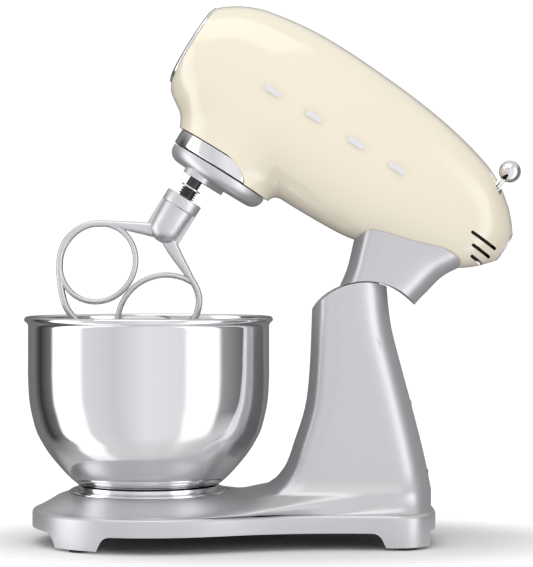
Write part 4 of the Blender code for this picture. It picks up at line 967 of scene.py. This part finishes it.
def make_disc():
    """The turning disc under the hub, with a round edge and a boss for the beater's shaft."""
    profile = [(0, 242.5 * MM), (48 * MM, 242.5 * MM)]
    for i in range(13):
        turn = math.pi / 2 * i / 12
        profile.append(((37 + 11 * math.cos(turn)) * MM, (240.5 - 11 * math.sin(turn)) * MM))
    body = turned("disc", profile + [(0, 229.5 * MM)], steps=128)
    facing = math.atan2(SHAFT_Y, SHAFT_X)
    outline = []
    for centre, radius, start in ((0, 13 * MM, math.pi / 2), (27.75 * MM, 14 * MM, -math.pi / 2)):
        for i in range(33):
            turn = facing + start + math.pi * i / 32
            outline.append(
                (centre * math.cos(facing) + radius * math.cos(turn), centre * math.sin(facing) + radius * math.sin(turn))
            )
    join(body, plate("boss", [outline], 225 * MM, 232 * MM))
    cut(body, rod("shaft_hole", 6.3 * MM, 220 * MM, 250 * MM, at=(SHAFT_X, SHAFT_Y), segments=48))
    set_down(body, ON_HEAD, "planet", CAST, "planet_disc", bevel=0.9 * MM, segments=3)


def make_beater_drive():
    shaft = rod("shaft", 6 * MM, 178 * MM, 256 * MM, at=(SHAFT_X, SHAFT_Y), segments=64)
    across = rod("cross_hole", 2.3 * MM, -30 * MM, 10 * MM, at=(SHAFT_Y, 188 * MM), along="X", segments=32)
    set_down(cut(shaft, across), ON_HEAD, "beater_drive", DARK, "beater_shaft", bevel=0.5 * MM)
    profile = [(9.3 * MM, 216.2 * MM), (9.3 * MM, 215.3 * MM), (9 * MM, 215 * MM), (6.3 * MM, 215 * MM),
               (6.3 * MM, 216.5 * MM), (9 * MM, 216.5 * MM)]
    washer = turned("washer", profile, at=(SHAFT_X, SHAFT_Y, 0), closed=True)
    set_down(washer, ON_HEAD, "beater_drive", CHROME, "shaft_washer", bevel=0.15 * MM)
    coil = []
    for i in range(3 * 40 + 1):
        turn = 2 * math.pi * i / 40
        x, y = SHAFT_X + 6.9 * MM * math.cos(turn), SHAFT_Y + 6.9 * MM * math.sin(turn)
        coil.append((x, y, (206.9 + 7 * i / 120) * MM))
    set_down(tube("spring", coil, 0.6 * MM), ON_HEAD, "beater_drive", DARK, "beater_spring")


def make_release_spring():
    """The spring behind the release button, a coil drawn at rest across its part's box."""
    low, high = [Vector(corner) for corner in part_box("release_spring")]
    middle, wire, turns = (low + high) / 2, 0.6 * MM, 3
    coil = []
    for i in range(turns * 32 + 1):
        turn = 2 * math.pi * i / 32
        x = low.x + wire + (high.x - low.x - 2 * wire) * i / (turns * 32)
        coil.append((x, middle.y + 5.6 * MM * math.cos(turn), middle.z + 5.6 * MM * math.sin(turn)))
    spring = set_down(tube("release_spring_coil", coil, wire), Matrix.Identity(4), "stand", DARK, "release_spring")
    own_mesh(spring)


KNOB_X, KNOB_Z, KNOB_R, LEVER_X, LEVER_Z = 225.5 * MM, 383.5 * MM, 10 * MM, 221 * MM, 322 * MM


def make_lever():
    profile = [(7 * MM, 225 * MM), (7 * MM, 217 * MM), (3.3 * MM, 217 * MM), (3.3 * MM, 225 * MM)]
    lever = turned("lever_arm", profile, at=(0, 0, LEVER_Z), along="X", closed=True, steps=48)
    down = Vector((LEVER_X - KNOB_X, 0, 345 * MM - KNOB_Z)).normalized()
    top = Vector((KNOB_X, 0, KNOB_Z)) + down * (KNOB_R - MM)
    stem = [(LEVER_X, 0, LEVER_Z + 5.5 * MM), (LEVER_X, 0, 340 * MM), (221.3 * MM, 0, 347 * MM), top]
    join(lever, tube("stem", stem, 1.9 * MM, sides=24))
    set_down(lever, ON_HEAD, "lever", CHROME, "speed_lever", bevel=0.2 * MM)
    ball = [(0, KNOB_R)]
    ball += [(KNOB_R * math.sin(math.pi * i / 36), KNOB_R * math.cos(math.pi * i / 36)) for i in range(1, 34)]
    collar = 2.9 * MM
    ball += [(collar, -KNOB_R + 0.1 * MM), (collar, -KNOB_R - 0.2 * MM), (0, -KNOB_R - 0.2 * MM)]
    knob = turned("knob", ball, steps=64)
    lean = Vector((0, 0, -1)).rotation_difference(down).to_matrix().to_4x4()
    knob.data.transform(Matrix.Translation((KNOB_X, 0, KNOB_Z)) @ lean)
    set_down(knob, ON_HEAD, "lever", CHROME, "lever_knob")


# Beater and bowl.


def smooth_path(points, steps=10, cyclic=False):
    path = []
    count = len(points)
    for i in range(count if cyclic else count - 1):
        before = points[i - 1] if cyclic or i else points[0]
        start, end = points[i], points[(i + 1) % count]
        after = points[(i + 2) % count] if cyclic or i < count - 2 else points[-1]
        for k in range(steps):
            t = k / steps
            path.append(
                tuple(
                    s + ((e - b) * t + (2 * b - 5 * s + 4 * e - a) * t**2 + (3 * s - b - 3 * e + a) * t**3) / 2
                    for b, s, e, a in zip(before, start, end, after)
                )
            )
    return path if cyclic else path + [tuple(points[-1])]


def strip(name, path, width, depth, cyclic=False, root=0.0, taper=40 * MM):
    """A rounded bar along a path in the beater's plane, wider by root at its two ends."""
    half_w, half_d = width / 2, depth / 2
    corners = []
    for i in range(20):
        turn = 2 * math.pi * i / 20
        w, d = math.cos(turn), math.sin(turn)
        corners.append((math.copysign(abs(w) ** 0.75, w), half_d * math.copysign(abs(d) ** 0.75, d)))
    bm = bmesh.new()
    rows = []
    count = len(path)
    for i, (u, z) in enumerate(path):
        before = path[(i - 1) % count if cyclic else max(i - 1, 0)]
        after = path[(i + 1) % count if cyclic else min(i + 1, count - 1)]
        du, dz = after[0] - before[0], after[1] - before[1]
        size = math.hypot(du, dz)
        reach = min(math.dist((u, z), path[0]), math.dist((u, z), path[-1]))
        half = half_w + root / 2 * max(0.0, 1 - reach / taper)
        side_u, side_z = half * dz / size, -half * du / size
        rows.append([bm.verts.new((SHAFT_X + u + side_u * w, SHAFT_Y + d, z + side_z * w)) for w, d in corners])
    for i in range(count if cyclic else count - 1):
        first, second = rows[i], rows[(i + 1) % count]
        for k in range(len(corners)):
            j = (k + 1) % len(corners)
            bm.faces.new((first[k], first[j], second[j], second[k]))
    if not cyclic:
        bm.faces.new(rows[0])
        bm.faces.new(rows[-1][::-1])
    bmesh.ops.recalc_face_normals(bm, faces=bm.faces)
    return from_bmesh(name, bm)


FRAME_RIGHT = [(8, 165), (20, 158), (40, 148), (53, 141), (61, 132), (65, 120), (65, 110), (62.5, 100), (57, 88),
               (46, 73), (35, 63.5), (20, 59), (0, 58)]
FRAME_LEFT = [(-20, 59), (-36, 63.5), (-48, 73), (-60, 88), (-67, 100), (-70, 110), (-70, 120), (-66, 131.5),
              (-59, 140.5), (-45, 149.5), (-20, 161), (-8, 166)]


def make_beater():
    profile = [(0, 205.5), (16.4, 205.5), (17.05, 205.1), (17.25, 204.3), (17.25, 196.6), (16.9, 195.4), (15.6, 194.5),
               (15.3, 188), (14.3, 172), (13.6, 168), (12, 165), (9.8, 162.6), (7, 161), (3.6, 159.8), (0, 159.5)]
    body = turned("beater", [(r * MM, z * MM) for r, z in profile], at=(SHAFT_X, SHAFT_Y, 0))
    frame_path = smooth_path([(u * MM, z * MM) for u, z in FRAME_RIGHT + FRAME_LEFT], steps=6)
    loop = [(-35.7 * MM + 33.5 * MM * math.cos(a), 114 * MM + 36.0 * MM * math.sin(a))
            for a in (2 * math.pi * i / 96 for i in range(96))]
    arc = [(46 * MM + 44 * MM * math.cos(a), 100 * MM + 44 * MM * math.sin(a))
           for a in (math.radians(84 + 150 * i / 48) for i in range(49))]
    join(body, strip("frame", frame_path, 6 * MM, 9 * MM, root=7 * MM))
    join(body, strip("loop", loop, 5 * MM, 8.4 * MM, cyclic=True), strip("arc", arc, 5 * MM, 7.8 * MM))
    for side in (-1, 1):
        x = SHAFT_X + side * 15 * MM
        join(body, box("rib", (x - 2.2 * MM, x + 2.2 * MM), (SHAFT_Y - 2.5 * MM, SHAFT_Y + 2.5 * MM), (167 * MM, 197 * MM)))
    cut(body, rod("bore", 6.3 * MM, 171 * MM, 210 * MM, at=(SHAFT_X, SHAFT_Y)))
    cut(body, rod("spring_seat", 8.4 * MM, 202.3 * MM, 210 * MM, at=(SHAFT_X, SHAFT_Y), segments=64))
    slot = (SHAFT_Y - 2.3 * MM, SHAFT_Y + 2.3 * MM)
    cut(body, box("pin_slot", (SHAFT_X - 11.2 * MM, SHAFT_X + 11.2 * MM), slot, (180 * MM, 210 * MM)))
    set_down(body, ON_HEAD, "beater", CAST, "flat_beater", bevel=0.6 * MM)


def drawn_in(profile, by):
    moved = []
    for i, (r, z) in enumerate(profile):
        before, after = profile[max(i - 1, 0)], profile[min(i + 1, len(profile) - 1)]
        dr, dz = after[0] - before[0], after[1] - before[1]
        size = math.hypot(dr, dz)
        moved.append((r + by * dz / size, z - by * dr / size))
    return moved


def make_bowl():
    roll_r, rim_r, rim_z, floor_z, sheet = 2.8 * MM, 113.5 * MM, 202 * MM, 51.3 * MM, 1.2 * MM
    roll = [
        (rim_r - roll_r + roll_r * math.cos(math.radians(a)), rim_z + roll_r * math.sin(math.radians(a)))
        for a in range(165, -76, -15)
    ]
    below = [(110, 197), (110, 180), (110, 165), (110, 150), (109, 131), (106.8, 117), (102.5, 101), (97, 90), (91, 80.5),
             (83, 70.5), (74, 60.5), (66.5, 53.8), (62, 51.3)]
    outer = smooth_path([(r * MM, z * MM) for r, z in below], steps=8)
    inner = drawn_in(outer, sheet)
    profile = roll + outer + [(0, floor_z), (0, floor_z + sheet)] + inner[::-1]
    bowl = turned("mixing_bowl", profile, steps=192, closed=True)
    set_down(bowl, ON_STAND, "bowl_body", BOWL_STEEL, "bowl", sharp=50)
    foot = [(64.3 * MM, 51 * MM), (64.3 * MM, 47.3 * MM), (63.8 * MM, 46.7 * MM), (63 * MM, 46.5 * MM), (60 * MM, 46.5 * MM),
            (60 * MM, 51 * MM)]
    set_down(turned("foot_ring", foot, closed=True, steps=160), ON_STAND, "bowl_body", BOWL_STEEL, "bowl_foot", bevel=0.2 * MM)
    seat = [(64.8, 47.4), (65.1, 47.85), (65.8, 48), (68.6, 48), (70.2, 47.6), (71.8, 46.7), (72.7, 45.9), (72.7, 45.3),
            (6, 45.3), (6, 46.2), (64.8, 46.2)]
    plate_made = turned("seat_ring", [(r * MM, z * MM) for r, z in seat], closed=True, steps=160)
    set_down(plate_made, ON_STAND, "stand", CHROME, "bowl_seat_plate", sharp=45)


make_floor()
make_world()
area_light("top", (-0.2, -0.4, 1.5), (0, 0, 0.3), (1.4, 1.0), 5)
bpy.context.scene.view_settings.view_transform = "Standard"
make_stand()
make_housing()
make_neck()
make_trim()
make_disc()
make_beater_drive()
make_release_spring()
make_lever()
make_beater()
make_bowl()
